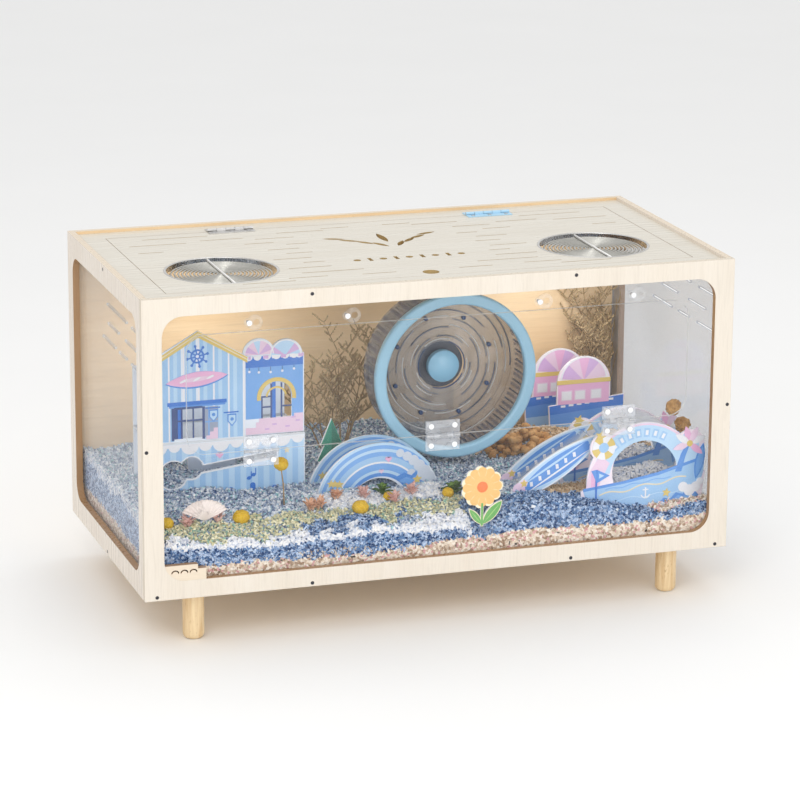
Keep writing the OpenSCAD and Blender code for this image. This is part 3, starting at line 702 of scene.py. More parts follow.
def paint_stage():
    art = Artwork("stage_print", "stage_board")
    width, height = 209.0, 106.0
    body = [(29.0, 64.0, 19.0), (54.0, 72.0, 15.0)]
    neck_x0, neck_x1 = 60.0, 171.5

    def hole_span(x):
        """Lower and upper edge of the cut-out at x, or None."""
        spans = []
        for cx, cz, r in body:
            if abs(x - cx) < r:
                half = math.sqrt(r * r - (x - cx) ** 2)
                spans.append((cz - half, cz + half))
        if neck_x0 <= x <= neck_x1:
            level = 64.0 + (x - neck_x0) * math.tan(math.radians(7))
            spans.append((level, level + 9.1))
        if not spans:
            return None
        return min(s[0] for s in spans), max(s[1] for s in spans)

    stripes = 52
    pitch = (width - 3) / stripes
    for i in range(stripes):
        x0 = 1.5 + i * pitch
        x1 = x0 + pitch
        tone = "sky_light" if (i // 2) % 2 else "sky"
        span = hole_span((x0 + x1) / 2)
        if span is None:
            art.shape(rect(x0, 1, x1, height - 1), tone, 1)
        else:
            art.shape(rect(x0, 1, x1, span[0] - 1.5), tone, 1)
            art.shape(rect(x0, span[1] + 1.5, x1, height - 1), tone, 1)
    for i, x in enumerate(range(8, 208, 21)):
        r = (11, 8, 12, 9)[i % 4]
        art.shape(arc(min(x + 2, width - r - 1), height - 3, r, 180, 360, 14), "white", 3)
    art.shape(rect(1.5, height - 5, width - 1.5, height - 0.8), "white", 3)

    def rim(points):
        for (xa, za), (xb, zb) in zip(points, points[1:]):
            length = math.hypot(xb - xa, zb - za)
            bar = rect(-0.3, -0.75, length + 0.3, 0.75)
            art.shape(turned(bar, xa, za, math.degrees(math.atan2(zb - za, xb - xa))), "white", 3)

    xs = [11 + 4 * i for i in range(41)]
    inside = [x for x in xs if hole_span(x)]
    rim([(x, hole_span(x)[0] - 1) for x in inside])
    rim([(x, hole_span(x)[1] + 1) for x in inside])
    art.shape(heart(92, 88, 5), "pink", 4)
    art.shape(star(184, 86, 4.6), "cream", 4)
    for x, z in ((132, 52), (138, 56)):
        art.shape(lens(x, z, 7, 5, 20), "strong", 4)
        art.shape(rect(x + 2.4, z, x + 3.6, z + 9), "strong", 4)
    for i, tall in enumerate((14, 24, 18, 28, 12, 22)):
        x = 92 + 15 * i
        art.shape([*arc(x, 14 + tall, 3.6, 0, 180, 8), (x - 3.6, 12), (x + 3.6, 12)], "strong", 4)
    art.done("printed_blue")


def paint_wave():
    cx, cz = 90.0, 8.0
    bands = (("blue", 42, 47), ("sky_light", 47, 51), ("mid", 51, 60), ("white", 60, 62.5),
             ("sky", 62.5, 70), ("mid", 70, 76), ("sky_light", 76, 80), ("mid", 80, 85),
             ("sky_light", 85, 88.4))
    splash = [(cx + x, cz + z) for x, z in (
        (20, 38), (34, 45), (44, 40), (51, 46), (54, 34), (62, 30), (60, 14), (50, 16), (40, 26))]
    for art in both_panels("wave", "wave_arch_panels"):
        for tone, inner, outer in bands:
            art.shape(band(cx, cz, inner, outer, 14 + 0.5 * (outer - 42), 177, 36), tone, 1)
        for i in range(9):
            turn = math.radians(3 + 8.2 * i)
            reach = 75 + 0.3 * i
            puffs = [(reach, 4, 12 - 0.8 * i, 3)]
            if i < 6:
                puffs.append((reach - 15, 5, 11 - i, 2))
            for out, lowest, r, layer in puffs:
                spot = (cx + out * math.cos(turn), cz + max(lowest, out * math.sin(turn)))
                art.shape(arc(*spot, r), "cloud", layer)
        art.shape(splash, "blue", 4)
        art.shape([(cx + 0.8 * (x - cx) + 10, cz + 0.7 * (z - cz) + 7) for x, z in splash], "mid", 5)
        for i in range(3):
            turn = math.radians(152 - 7 * i)
            art.shape(star(cx + 82 * math.cos(turn) + 5, cz + 80 * math.sin(turn) - 9 * i, 6), "yellow", 5)
        art.shape(star(cx + 52, cz + 34, 7), "yellow", 6)
        art.shape(heart(cx + 12, cz + 66, 4.5), "pink", 5)
        art.shape(heart(cx + 2, cz + 50, 3.4), "blush", 5)
        art.done("printed_blue")


def paint_ship():
    for art in both_panels("ship", "ship_panels", (18.0, 0.0)):
        art.shape([(6, 1), (102, 1), (108, 48), (3, 44)], "sky", 1)
        art.shape([(3, 40), (108, 44), (112, 64), (2, 56)], "blue", 2)
        art.shape([(2, 56), (112, 64), (112, 78), (1, 68.5)], "strong", 3)
        for i in range(7):
            x = 18 + 12 * i
            art.shape(rect(x, 64.5 + 0.08 * x, x + 7, 67.5 + 0.08 * x), "white", 4)
        art.shape(rect(14, 70, 90, 103), "pink", 4)
        for x in (18, 38, 62):
            art.shape(rect(x, 75, x + 17, 90), "blush", 5)
            art.shape(rect(x + 1.5, 76.5, x + 15.5, 88.5), "white", 6)
        art.shape(rect(12, 99, 92, 105), "yellow", 6)
        dome_x, dome_z = 52.0, 103.0
        slices = (("blush", 8, 48), ("lilac", 48, 76), ("pink", 76, 104), ("blush", 104, 134),
                  ("lilac", 134, 172))
        for tone, start, stop in slices:
            art.shape([(dome_x, dome_z), *arc(dome_x, dome_z, 34, start, stop, 8)], tone, 4)
        art.shape(band(dome_x, dome_z, 33, 35, 4, 176, 22), "white", 5)
        art.done("printed_pink")


def paint_ramp():
    low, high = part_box("ramp_boards")
    tilt = 31
    centre = ((high.x - low.x) / 2 / MM, (high.z - low.z) / 2 / MM)

    def along(x, z=0):
        return turned([(x, z)], *centre, tilt)[0]

    blots = ((-64, -3, 9, "lilac"), (-54, 4, 9, "blush"), (-70, 2, 7, "pink"), (-52, -7, 7, "lilac"),
             (-44, 7, 5, "blush"))
    for art in both_panels("ramp", "ramp_boards"):
        art.shape(lens(*centre, 160, 32, tilt), "sky_light", 1)
        art.shape(lens(*along(8), 132, 26, tilt), "blue", 2)
        art.shape(lens(*along(2, 6), 110, 3, tilt), "sky_light", 3)
        art.shape(lens(*along(2, -6.5), 110, 2.4, tilt), "white", 3)
        for i in range(6):
            art.shape(turned(rect(-3.2, -2, 3.2, 2), *along(-36 + 14 * i), tilt + 68), "white", 3)
        for x, z, r, tone in blots:
            art.shape(arc(*along(x, z), r, steps=14), tone, 4)
        art.shape(star(*along(-44, 7), 6), "yellow", 5)
        art.shape(star(*along(62, 2), 5), "sky_light", 5)
        art.done("printed_blue")


def paint_boat():
    cx, cz = 88.0, 38.0
    for art in both_panels("boat", "boat_arch_panels"):
        art.shape(band(cx + 1, cz + 6, 49, 73, 8, 172, 40), "sky_light", 1)
        art.shape(band(cx, cz, 76.2, 78.8, 22, 150, 40), "blush", 2)
        for i in range(7):
            turn = math.radians(64 + 11 * i)
            spot = (cx + 64 * math.cos(turn), cz + 66 * math.sin(turn))
            art.shape(turned(rect(-4.2, -6, 4.2, 6), *spot, math.degrees(turn) - 90), "sky", 2)
            art.shape(turned(rect(-2, -3.4, 2, 3.4), *spot, math.degrees(turn) - 90), "white", 3)
        art.shape([(8, 2), (22, 2), (27, 40), (40, 66), (26, 78), (12, 56), (7, 34)], "blush", 2)
        art.shape([(14, 30), (24, 30), (24, 60), (14, 52)], "pink", 3)
        art.shape([(146, 48), (168, 44), (168, 92), (146, 98), (132, 74)], "sky_light", 2)
        hull = [(3, 30), (34, 33), (70, 37), (104, 43), (134, 51), (176, 62), (175, 44), (168, 20),
                (150, 3), (12, 3)]
        art.shape(hull, "sky", 4)
        gunwale = [(3, 29), (60, 35.5), (110, 43.5), (176, 61), (176, 65), (109, 47.5), (59, 39), (3, 33)]
        art.shape(gunwale, "blue", 5)
        art.shape(wavy(26, 150, 22, 2.4, 2.5, 1.8, 0.13), "cream", 6)
        art.shape(wavy(20, 140, 12, 1.6, 3, 1.2, 0.06), "sky_light", 6)
        art.shape(wavy(34, 128, 29, 1.2, 3, 1.0, 0.12), "mid", 6)
        anchor_x, anchor_z = 92.0, 22.0
        art.shape(rect(anchor_x - 1, anchor_z - 8, anchor_x + 1, anchor_z + 6), "white", 7)
        art.shape(rect(anchor_x - 4, anchor_z + 2, anchor_x + 4, anchor_z + 3.6), "white", 7)
        art.shape(band(anchor_x, anchor_z - 2, 5.6, 7.4, 200, 340, 12), "white", 7)
        splash = [(112, 3), (118, 11), (128, 9), (136, 17), (146, 14), (152, 22), (162, 20), (170, 9),
                  (168, 3)]
        art.shape(splash, "blue", 7)
        art.shape([(x * 0.8 + 30, z * 0.72 + 1) for x, z in splash], "mid", 8)
        art.shape(star(122, 18, 6.5, 80), "yellow", 9)
        for x, z, r in ((146, 24, 7), (155, 19, 8), (164, 23, 7), (172, 30, 5)):
            art.shape(arc(min(x, 170), z, r, steps=16), "white", 9)
        buoy_x, buoy_z = 31.0, 88.0
        for i in range(8):
            tone = "white" if i % 2 else "yellow"
            art.shape(band(buoy_x, buoy_z, 7, 16.5, 45 * i + 8, 45 * i + 53, 6), tone, 6)
        art.shape(arc(buoy_x, buoy_z, 7.2, steps=18), "sky", 5)
        art.shape(star(26, 104, 8, 70), "yellow", 8)
        art.shape([(20, 3), (22.4, 3), (22.4, 58), (20, 58)], "strong", 8)
        art.shape([(22.4, 58), (22.4, 40), (40, 49)], "blue", 8)
        art.shape([(14, 57), (22, 40), (21, 58)], "blue", 8)
        art.shape([(25, 53), (25, 46), (32, 49.5)], "sky_light", 9)
        art.shape(rect(8, 2, 42, 5), "blue", 8)
        trunk = [(134, 46), (143, 46), (148, 66), (155, 84), (151, 86), (142, 70)]
        art.shape(trunk, "blue", 6)
        palm_x, palm_z = 154.0, 84.0
        for i, angle in enumerate((20, 62, 104, 146, 196, 320)):
            root = turned([(12, 0)], palm_x, palm_z, angle)[0]
            art.shape(lens(*root, 25, 9, angle), ("white", "blush", "pink")[i % 3], 7 + i % 2)
        art.shape(arc(palm_x, palm_z, 4.4, steps=12), "yellow", 9)
        art.shape(lens(169, 58, 50, 13, 78), "blue", 6)
        art.shape(lens(169, 58, 42, 9, 78), "mid", 7)
        art.done("printed_blue")


def paint_flower():
    art = Artwork("flower_print", "flower_sign")
    left = low_of("flower_sign").x / MM
    cx, cz = 61 - left, 54.0
    petals = 12
    for i in range(petals):
        turn = 2 * math.pi * i / petals
        art.shape(arc(*polar(cx, cz, 20.6, turn), 6.6, steps=18), "peach", 1)
        fold = turn + math.pi / petals
        art.shape(lens(*polar(cx, cz, 19, fold), 9, 0.9, math.degrees(fold)), "peach_edge", 3)
    art.shape(arc(cx, cz, 22, steps=40), "peach", 2)
    art.shape(arc(cx, cz, 7.4, steps=28), "orange", 4)
    stem = cx - 2
    art.shape(rect(stem + 0.6, 1, stem + 3.4, cz - 22), "leaf", 1)
    art.shape(lens(75 - left, 18, 39, 12.5, 48), "leaf", 2)
    art.shape(lens(75 - left, 18, 34, 1.6, 48), "leaf_light", 3)
    art.shape(lens(52 - left, 14, 27, 8, 128), "leaf", 2)
    art.shape(lens(52 - left, 14, 23, 1.2, 128), "leaf_light", 3)
    art.done("printed_peach")


def paint_tree():
    art = Artwork("tree_print", "layered_tree")
    cx = 24.0
    for low_z, high_z, half in ((36, 82, 22.5), (56, 98, 18.6), (78, 113, 13.8)):
        art.shape([(cx - half, low_z + 0.8), (cx, low_z - 1.5), (cx, high_z - 1)], "green_light", 3)
        art.shape([(cx, low_z - 1.5), (cx + half, low_z + 0.8), (cx, high_z - 1)], "green", 3)
    art.done("printed_green")


def make_boards():
    dress(board_base("board_white", (0.78, 0.84, 0.93)),
          "house_front", "tower_front", "stage_board", "house_back", "wave_arch_panels", "ramp_boards")
    dress(board_base("board_blush", (0.88, 0.78, 0.86)), "ship_panels", "boat_arch_panels")
    dress(board_base("board_cream", (0.95, 0.84, 0.62)), "flower_sign")
    dress(board_base("board_green", (0.06, 0.38, 0.25)), "layered_tree")
    for paint in (paint_house, paint_tower, paint_stage, paint_wave, paint_ship, paint_ramp, paint_boat,
                  paint_flower, paint_tree):
        paint()


# ---------- bedding ----------

BED_LEFT, BED_RIGHT = low_of("bedding").x / MM + 0.4, high_of("bedding").x / MM - 0.4
BED_NEAR, BED_FAR = low_of("bedding").y / MM - 1.8, high_of("bedding").y / MM - 0.4
BED_FLOOR = low_of("bedding").z / MM + 0.4
RAIL_TOP = BOX_BASE / MM + 20
PANE_FILL = 80  # how far above the rail the layers are laid, before the surface cuts them

# heaps and hollows in the bedding: middle x, middle y, spread, rise
BOAT_LOW, BOAT_HIGH = (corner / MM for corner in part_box("boat_arch_panels"))
SAND_BATH = [(BOAT_LOW.x + x, (BOAT_LOW.y + BOAT_HIGH.y) / 2, 27, 23) for x in (52, 82, 112, 136)]
HEAPS = (
    *SAND_BATH, (-372, -185, 45, 8), (160, -176, 62, 15), (315, -160, 62, -14), (62, -190, 22, -26),
    (-320, -20, 60, 9), (285, 50, 90, 26), (190, 62, 55, 14), (-60, 150, 150, 8),
)

# what lies on top: the first patch that holds a point names its granules, and the rest is grey
PATCHES = (
    ("blue", 40, 300, -200, -148), ("white", -390, -25, -200, -187), ("white", -25, 40, -200, -176),
    ("olive", -390, -185, -187, -148), ("blue", -185, -55, -187, -166), ("olive", -185, 55, -176, -142),
    ("blue", 290, 390, -200, -182), ("beige", 290, 390, -182, -160), ("tan", 140, 260, -148, -100),
    ("white", 225, 362, -160, 30), ("tan", 120, 390, 30, 200), ("white", -150, 30, -138, -100),
)

CUBE = np.array([(x, y, z) for x in (-0.5, 0.5) for y in (-0.5, 0.5) for z in (-0.5, 0.5)])
CUBE_FACES = np.array([(0, 1, 3, 2), (4, 6, 7, 5), (0, 4, 5, 1), (2, 3, 7, 6), (0, 2, 6, 4), (1, 5, 7, 3)])

# length, width and thickness of each kind of granule
GRANULES = {
    "blue": (5.0, 2.0, 1.9), "white": (6.4, 4.6, 1.8), "olive": (4.2, 2.6, 2.2), "beige": (6.6, 4.6, 2.6),
    "tan": (5.0, 3.6, 3.0), "grey": (5.0, 2.8, 2.4),
}
# darkest, middle and lightest tone of each kind, picked at random spot by spot: the darkest also paints shade
# in the gaps between granules, and the lightest paints highlights on them
GRANULE_TONES = {
    "blue": ((0.01, 0.05, 0.17), (0.15, 0.28, 0.51), (0.60, 0.71, 0.88)),
    "white": ((0.62, 0.66, 0.76), (0.82, 0.83, 0.86), (0.90, 0.89, 0.88)),
    "olive": ((0.34, 0.38, 0.30), (0.68, 0.63, 0.38), (0.88, 0.84, 0.64)),
    "beige": ((0.42, 0.29, 0.20), (0.82, 0.70, 0.57), (0.93, 0.87, 0.79)),
    "tan": ((0.36, 0.22, 0.12), (0.58, 0.42, 0.26), (0.74, 0.60, 0.44)),
    "grey": ((0.16, 0.22, 0.36), (0.50, 0.58, 0.70), (0.88, 0.89, 0.91)),
}


def bed_height(x, y):
    """Height of the bedding's surface above the floor, in millimetres."""
    bank = 15 - 11 * np.tanh((x - 150) / 70)
    level = 62 + bank * (1 - np.exp(-(y - BED_NEAR) / 34)) + 0.012 * (y - BED_NEAR)
    for middle_x, middle_y, spread, rise in HEAPS:
        level = level + rise * np.exp(-((x - middle_x) ** 2 + (y - middle_y) ** 2) / spread ** 2)
    ripple = 1.7 * np.sin(x / 17 + 1.3 * np.sin(y / 29)) + 1.4 * np.sin(y / 13 + x / 41)
    return BOX_BASE / MM + level + ripple


def granule_material(kind):
    dark, middle, light = GRANULE_TONES[kind]
    s = Shader("granules_" + kind, rough=0.75, specular=0.25)
    cell = s.node("TexVoronoi", Vector=s.place(), Scale=320.0)
    shade = s.axis(cell.outputs["Color"], "X")
    colour = s.blend(s.between(shade, 0.1, 0.5), dark, middle)
    colour = s.blend(s.between(shade, 0.5, 0.95), colour, light)
    if kind in ("beige", "olive", "grey"):
        other = s.axis(cell.outputs["Color"], "Y")
        spot = {"beige": (0.72, 0.42, 0.42), "olive": (0.30, 0.48, 0.40), "grey": (0.34, 0.58, 0.62)}[kind]
        colour = s.blend(s.math("GREATER_THAN", other, 0.88), colour, spot)
    s.set("base", colour)
    s.bump(s.noise(1300, detail=3), 0.0003, 0.6)
    return s.material


def scatter(name, places, size, material, rng):
    """Many small irregular lumps in one mesh, pressed flat where they meet the panes."""
    count = len(places)
    corners = CUBE * (1 + 0.5 * (rng.random((count, 8, 3)) - 0.5)) * np.array(size)
    corners *= 0.7 + 0.6 * rng.random((count, 1, 1))
    spin = rng.normal(size=(count, 4))
    w, x, y, z = (spin / np.linalg.norm(spin, axis=1, keepdims=True)).T
    turn = np.array([
        [1 - 2 * (y * y + z * z), 2 * (x * y - z * w), 2 * (x * z + y * w)],
        [2 * (x * y + z * w), 1 - 2 * (x * x + z * z), 2 * (y * z - x * w)],
        [2 * (x * z - y * w), 2 * (y * z + x * w), 1 - 2 * (x * x + y * y)],
    ])
    points = np.einsum("ijn,nkj->nki", turn, corners) + places[:, None, :]
    points[:, :, 0] = np.clip(points[:, :, 0], BED_LEFT, BED_RIGHT)
    points[:, :, 1] = np.clip(points[:, :, 1], BED_NEAR, BED_FAR)
    faces = CUBE_FACES[None] + 8 * np.arange(count)[:, None, None]
    new_piece(name, points.reshape(-1, 3) * MM, faces.reshape(-1, 4).tolist(), "cabinet",
              [material])


def jittered(x0, x1, y0, y1, pitch, rng):
    """Points of a loose grid over a rectangle."""
    xs, ys = np.meshgrid(np.arange(x0, x1, pitch), np.arange(y0, y1, pitch))
    xs, ys = xs.ravel(), ys.ravel()
    return xs + pitch * (rng.random(len(xs)) - 0.5), ys + pitch * (rng.random(len(ys)) - 0.5)


def patch_of(x, y):
    drift = noise.noise(Vector((x / 26, y / 26, 3)))
    fine = noise.noise(Vector((x / 7, y / 7, 9)))
    px, py = x + 30 * drift + 12 * fine, y + 18 * drift + 8 * fine
    for kind, x0, x1, y0, y1 in PATCHES:
        if x0 <= px < x1 and y0 <= py < y1:
            return kind
    return "grey"


def two_skins(across, deep):
    """Faces that close a grid of points, listed row by row, and its copy underneath."""
    count = across * deep
    faces = []
    for j in range(deep - 1):
        for i in range(across - 1):
            a = j * across + i
            faces.append((a, a + 1, a + across + 1, a + across))
            faces.append((count + a, count + a + across, count + a + across + 1, count + a + 1))
    edge = list(range(across))
    edge += [j * across + across - 1 for j in range(1, deep)]
    edge += [(deep - 1) * across + i for i in reversed(range(across - 1))]
    edge += [j * across for j in reversed(range(1, deep - 1))]
    return faces + [(b, a, count + a, count + b) for a, b in zip(edge, edge[1:] + edge[:1])]


def make_bed_core():
    """The closed body of the bedding under its loose granules."""
    across, deep = 130, 66
    xs = np.linspace(BED_LEFT + 0.5, BED_RIGHT - 0.5, across)
    ys = np.linspace(BED_NEAR + 2.2, BED_FAR - 0.5, deep)
    grid_x, grid_y = np.meshgrid(xs, ys)
    top = np.stack([grid_x, grid_y, bed_height(grid_x, grid_y) - 2.0], axis=-1).reshape(-1, 3)
    low = top.copy()
    low[:, 2] = BED_FLOOR
    s = Shader("bedding_core", rough=0.8)
    cells = s.node("TexVoronoi", Vector=s.place(), Scale=240.0)
    shade = s.axis(cells.outputs["Color"], "X")
    height = s.axis(s.place(), "Z")
    wave = s.math("MULTIPLY_ADD", s.noise(9, detail=3), 0.016)
    wave.node.inputs[2].default_value = BOX_BASE + 0.033
    layer = s.math("GREATER_THAN", height, wave)
    # the core's dark and light ends likewise paint shade and highlights where it shows between granules
    beige = s.blend(shade, GRANULE_TONES["beige"][0], GRANULE_TONES["beige"][2])
    blue = s.blend(shade, GRANULE_TONES["blue"][0], GRANULE_TONES["blue"][2])
    s.set("base", s.blend(layer, beige, blue))
    s.bump(shade, 0.0015, 0.8)
    core = new_piece("bedding_body", np.vstack([top, low]) * MM, two_skins(across, deep), "cabinet",
                     [s.material])
    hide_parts("bedding")


def make_bedding():
    make_bed_core()
    rng = np.random.default_rng(7)
    heaps = {kind: [] for kind in GRANULES}

    # the surface, finer towards the front
    for y0, y1, pitch in ((BED_NEAR + 2, -90, 3.5), (-90, BED_FAR - 2, 5.2)):
        xs, ys = jittered(BED_LEFT + 2, BED_RIGHT - 2, y0, y1, pitch, rng)
        zs = bed_height(xs, ys) - 0.8 + 2.6 * (rng.random(len(xs)) - 0.5)
        for x, y, z in zip(xs, ys, zs):
            heaps[patch_of(x, y)].append((x, y, z))

    # the layers that show through the panes
    def layer(along, z, surface, pale_cap):
        drift = noise.noise(Vector((along / 15, 0, 5)))
        border = 38 + 4 * math.sin(along / 62) + 0.022 * along + 5 * drift
        cap = pale_cap * (1 + 0.7 * noise.noise(Vector((along / 22, 0, 1))))
        if z < BOX_BASE / MM + border:
            return "beige"
        return "white" if z > surface - cap else "blue"

    xs, zs = jittered(BED_LEFT + 1, BED_RIGHT - 1, RAIL_TOP, RAIL_TOP + PANE_FILL, 3.0, rng)
    for x, z in zip(xs, zs):
        surface = bed_height(x, BED_NEAR)
        if z < surface:
            kind = layer(x, z, surface, 5 if x < 45 else -2)
            heaps[kind].append((x, BED_NEAR + 1.6 + 1.2 * rng.random(), z))
    for side_x in (BED_LEFT + 1.4, BED_RIGHT - 1.4):
        ys, zs = jittered(BED_NEAR + 1, BED_FAR - 1, RAIL_TOP, RAIL_TOP + PANE_FILL, 4.0, rng)
        for y, z in zip(ys, zs):
            surface = bed_height(side_x, y)
            if z < surface:
                heaps[layer(y + 90, z, surface, 12)].append((side_x, y, z))
    for kind, places in heaps.items():
        scatter("bedding_" + kind, np.array(places), GRANULES[kind], granule_material(kind), rng)


# ---------- dried plants and food ----------

class Lumps:
    """Gathers bumpy balls, tubes and leaves into one mesh, in millimetres."""

    def __init__(self):
        self.points, self.faces, self.picks = [], [], []

    def add(self, points, faces, pick=0):
        start = len(self.points)
        self.points += points
        self.faces += [tuple(start + i for i in face) for face in faces]
        self.picks += [pick] * len(faces)

    def ball(self, centre, radii, pick=0, wobble=0.12, grain=1.6, detail=2):
        ball = bmesh.new()
        bmesh.ops.create_icosphere(ball, subdivisions=detail, radius=1)
        points = []
        for vertex in ball.verts:
            bump = 1 + wobble * noise.noise(vertex.co * grain + Vector(centre) * 0.37)
            points.append(tuple(c + v * r * bump for c, v, r in zip(centre, vertex.co, radii)))
        faces = [tuple(v.index for v in face.verts) for face in ball.faces]
        ball.free()
        self.add(points, faces, pick)

    def tube(self, path, radii, pick=0, sides=5):
        points, faces = [], []
        for i, point in enumerate(path):
            ahead = Vector(path[min(i + 1, len(path) - 1)]) - Vector(path[max(i - 1, 0)])
            across = ahead.orthogonal().normalized()
            over = ahead.normalized().cross(across)
            for k in range(sides):
                t = 2 * math.pi * k / sides
                points.append(tuple(Vector(point) + (across * math.cos(t) + over * math.sin(t)) * radii[i]))
        for i in range(len(path) - 1):
            for k in range(sides):
                a, b = i * sides + k, i * sides + (k + 1) % sides
                faces.append((a, b, b + sides, a + sides))
        faces.append(tuple(reversed(range(sides))))
        faces.append(tuple(range((len(path) - 1) * sides, len(path) * sides)))
        self.add(points, faces, pick)

    def leaf(self, root, direction, length, width, pick=0, cup=0.25):
        """A pointed leaf with a fold along its middle, closed with a thin underside."""
        ahead = Vector(direction).normalized()
        across = ahead.cross(Vector((0, 0, 1))).normalized()
        up = across.cross(ahead)
        steps = 5
        points = []
        for thickness in (0.0, -0.35):
            for i in range(steps + 1):
                t = i / steps
                half = width / 2 * math.sin(math.pi * min(1, 0.12 + 0.88 * t)) ** 0.7
                middle = Vector(root) + ahead * length * t + up * (thickness - cup * length * (t - 0.5) ** 2)
                for side in (-1, 0, 1):
                    points.append(tuple(middle + across * side * half + up * abs(side) * cup * width * 0.4))
        faces = []
        under = 3 * (steps + 1)
        for i in range(steps):
            for k in range(2):
                a = 3 * i + k
                faces.append((a, a + 3, a + 4, a + 1))
                faces.append((under + a, under + a + 1, under + a + 4, under + a + 3))
            for k in (0, 2):
                a = 3 * i + k
                wall = (a, under + a, under + a + 3, a + 3)
                faces.append(wall if k == 0 else tuple(reversed(wall)))
        for a in (0, 3 * steps):
            end = (a, a + 1, a + 2, under + a + 2, under + a + 1, under + a)
            faces.append(end if a == 0 else tuple(reversed(end)))
        self.add(points, faces, pick)

    def done(self, name, slot, materials, body="cabinet"):
        scaled = [tuple(c * MM for c in point) for point in self.points]
        return new_piece(name, scaled, self.faces, body, materials, self.picks, smooth=True)


def organic(name, dark, light, scale=240, rough=0.7, depth=0.0006):
    """Dry, slightly wrinkled skin."""
    s = Shader(name, rough=rough, specular=0.3)
    wrinkle = s.noise(scale, detail=5, twist=0.8)
    patch = s.noise(scale * 0.18, detail=2)
    colour = s.blend(s.between(patch, 0.3, 0.7), dark, light)
    s.set("base", s.blend(s.between(wrinkle, 0.5, 0.8), colour, shaded(dark, 0.55)))
    s.bump(wrinkle, depth, 0.7)
    return s.material


def on_bed(x, y, lift=0.0):
    return (x, y, float(bed_height(x, y)) + lift)


def make_nuts():
    rng = random.Random(5)
    nuts = Lumps()
    low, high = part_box("nuts")
    for layer_number, count in enumerate((44, 30, 16)):
        for _ in range(count):
            x = rng.uniform(low.x / MM + 8 + 8 * layer_number, high.x / MM - 14 * layer_number)
            y = rng.uniform(low.y / MM + 4, high.y / MM - 4)
            r = rng.uniform(4.6, 6.2)
            place = on_bed(x, y, 2 + 6.5 * layer_number)
            nuts.ball(place, (r * 1.25, r * 0.95, r * 0.9), 0, 0.22, 2.2, 2)
    skin = organic("nut_skin", (0.46, 0.23, 0.08), (0.72, 0.43, 0.19), 300)
    piece = nuts.done("nut_pile", "baked_treat", [skin])
    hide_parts("nuts")


def make_biscuits():
    rng = random.Random(9)
    lumps = Lumps()
    middle_y = middle_of("biscuits")[1] / MM
    for x, z, r in ((352, 176, 12.4), (366, 151, 12.4), (376, 129, 9.2)):
        height = z + BOX_BASE / MM
        lumps.ball((x, middle_y, height), (r * 0.82, 7.6, r * 0.82), 0, 0.25, 2.0, 3)
        for _ in range(46):
            turn, lean = rng.uniform(0, 2 * math.pi), rng.uniform(-1, 1)
            ring = math.sqrt(1 - lean * lean)
            seed_x, seed_z = polar(x, height, r * 0.8 * ring, turn)
            size = rng.uniform(1.6, 2.6)
            lumps.ball((seed_x, middle_y + 7.0 * lean, seed_z), (size, size, size), 0, 0.3, 2.4, 1)
    skin = organic("seed_skin", (0.40, 0.20, 0.06), (0.72, 0.44, 0.18), 500)
    piece = lumps.done("seed_balls", "baked_treat", [skin])
    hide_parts("biscuits")


def grow(lumps, start, direction, length, radius, depth, rng):
    """One twig with its side shoots."""
    steps = 5
    path, radii = [Vector(start)], [max(radius, 0.55)]
    heading = Vector(direction).normalized()
    for i in range(steps):
        sway = Vector((rng.uniform(-1, 1), rng.uniform(-0.6, 0.6), rng.uniform(-0.3, 0.5)))
        heading = (heading + sway * 0.13).normalized()
        path.append(path[-1] + heading * length / steps)
        radii.append(max(radius * (1 - 0.7 * (i + 1) / steps), 0.4))
    lumps.tube(path, radii, 0, 4)
    if depth == 0:
        for spot in path[2:]:
            lumps.ball(tuple(spot), (1.2, 1.2, 2.0), 1, 0.3, 2, 1)
        return
    for i in range(2, steps + 1):
        for side in (-1, 1):
            lean = Vector((side * rng.uniform(0.6, 1.4), rng.uniform(-0.6, 0.3), rng.uniform(0.4, 1.0)))
            grow(lumps, path[i], heading * 0.4 + lean * 0.7, length * rng.uniform(0.16, 0.36),
                 radius * 0.62, depth - 1, rng)


TWIG_LIMIT_X, TWIG_LIMIT_Y = 366, 180
TWIG_BEND = 16


def bent_inside(value, limit):
    """Twig tips that reach the glass or the back board bend over instead of passing through."""
    if value <= limit:
        return value
    return limit + TWIG_BEND * math.tanh((value - limit) / TWIG_BEND)


def make_twigs():
    rng = random.Random(21)
    lumps = Lumps()
    bottom = low_of("twigs").z / MM
    for middle_x, y, count, spread, tall in ((-60, 74, 8, 0.34, 168), (357, 172, 6, 0.15, 178)):
        for i in range(count):
            lean = spread * (2 * i / (count - 1) - 1) + rng.uniform(-0.03, 0.03)
            start = (middle_x + 30 * lean, y + rng.uniform(-6, 6), bottom + 20)
            grow(lumps, start, (lean, rng.uniform(-0.05, 0.03), 1), tall * rng.uniform(0.75, 1.0), 1.9, 2, rng)
    lumps.points = [(bent_inside(x, TWIG_LIMIT_X), bent_inside(y, TWIG_LIMIT_Y), z)
                    for x, y, z in lumps.points]
    bark = organic("twig_bark", (0.30, 0.19, 0.09), (0.52, 0.37, 0.20), 700)
    seeds = organic("twig_seeds", (0.40, 0.27, 0.13), (0.66, 0.50, 0.29), 900)
    piece = lumps.done("dried_sprigs", "dried_twig", [bark, seeds])
    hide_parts("twigs")


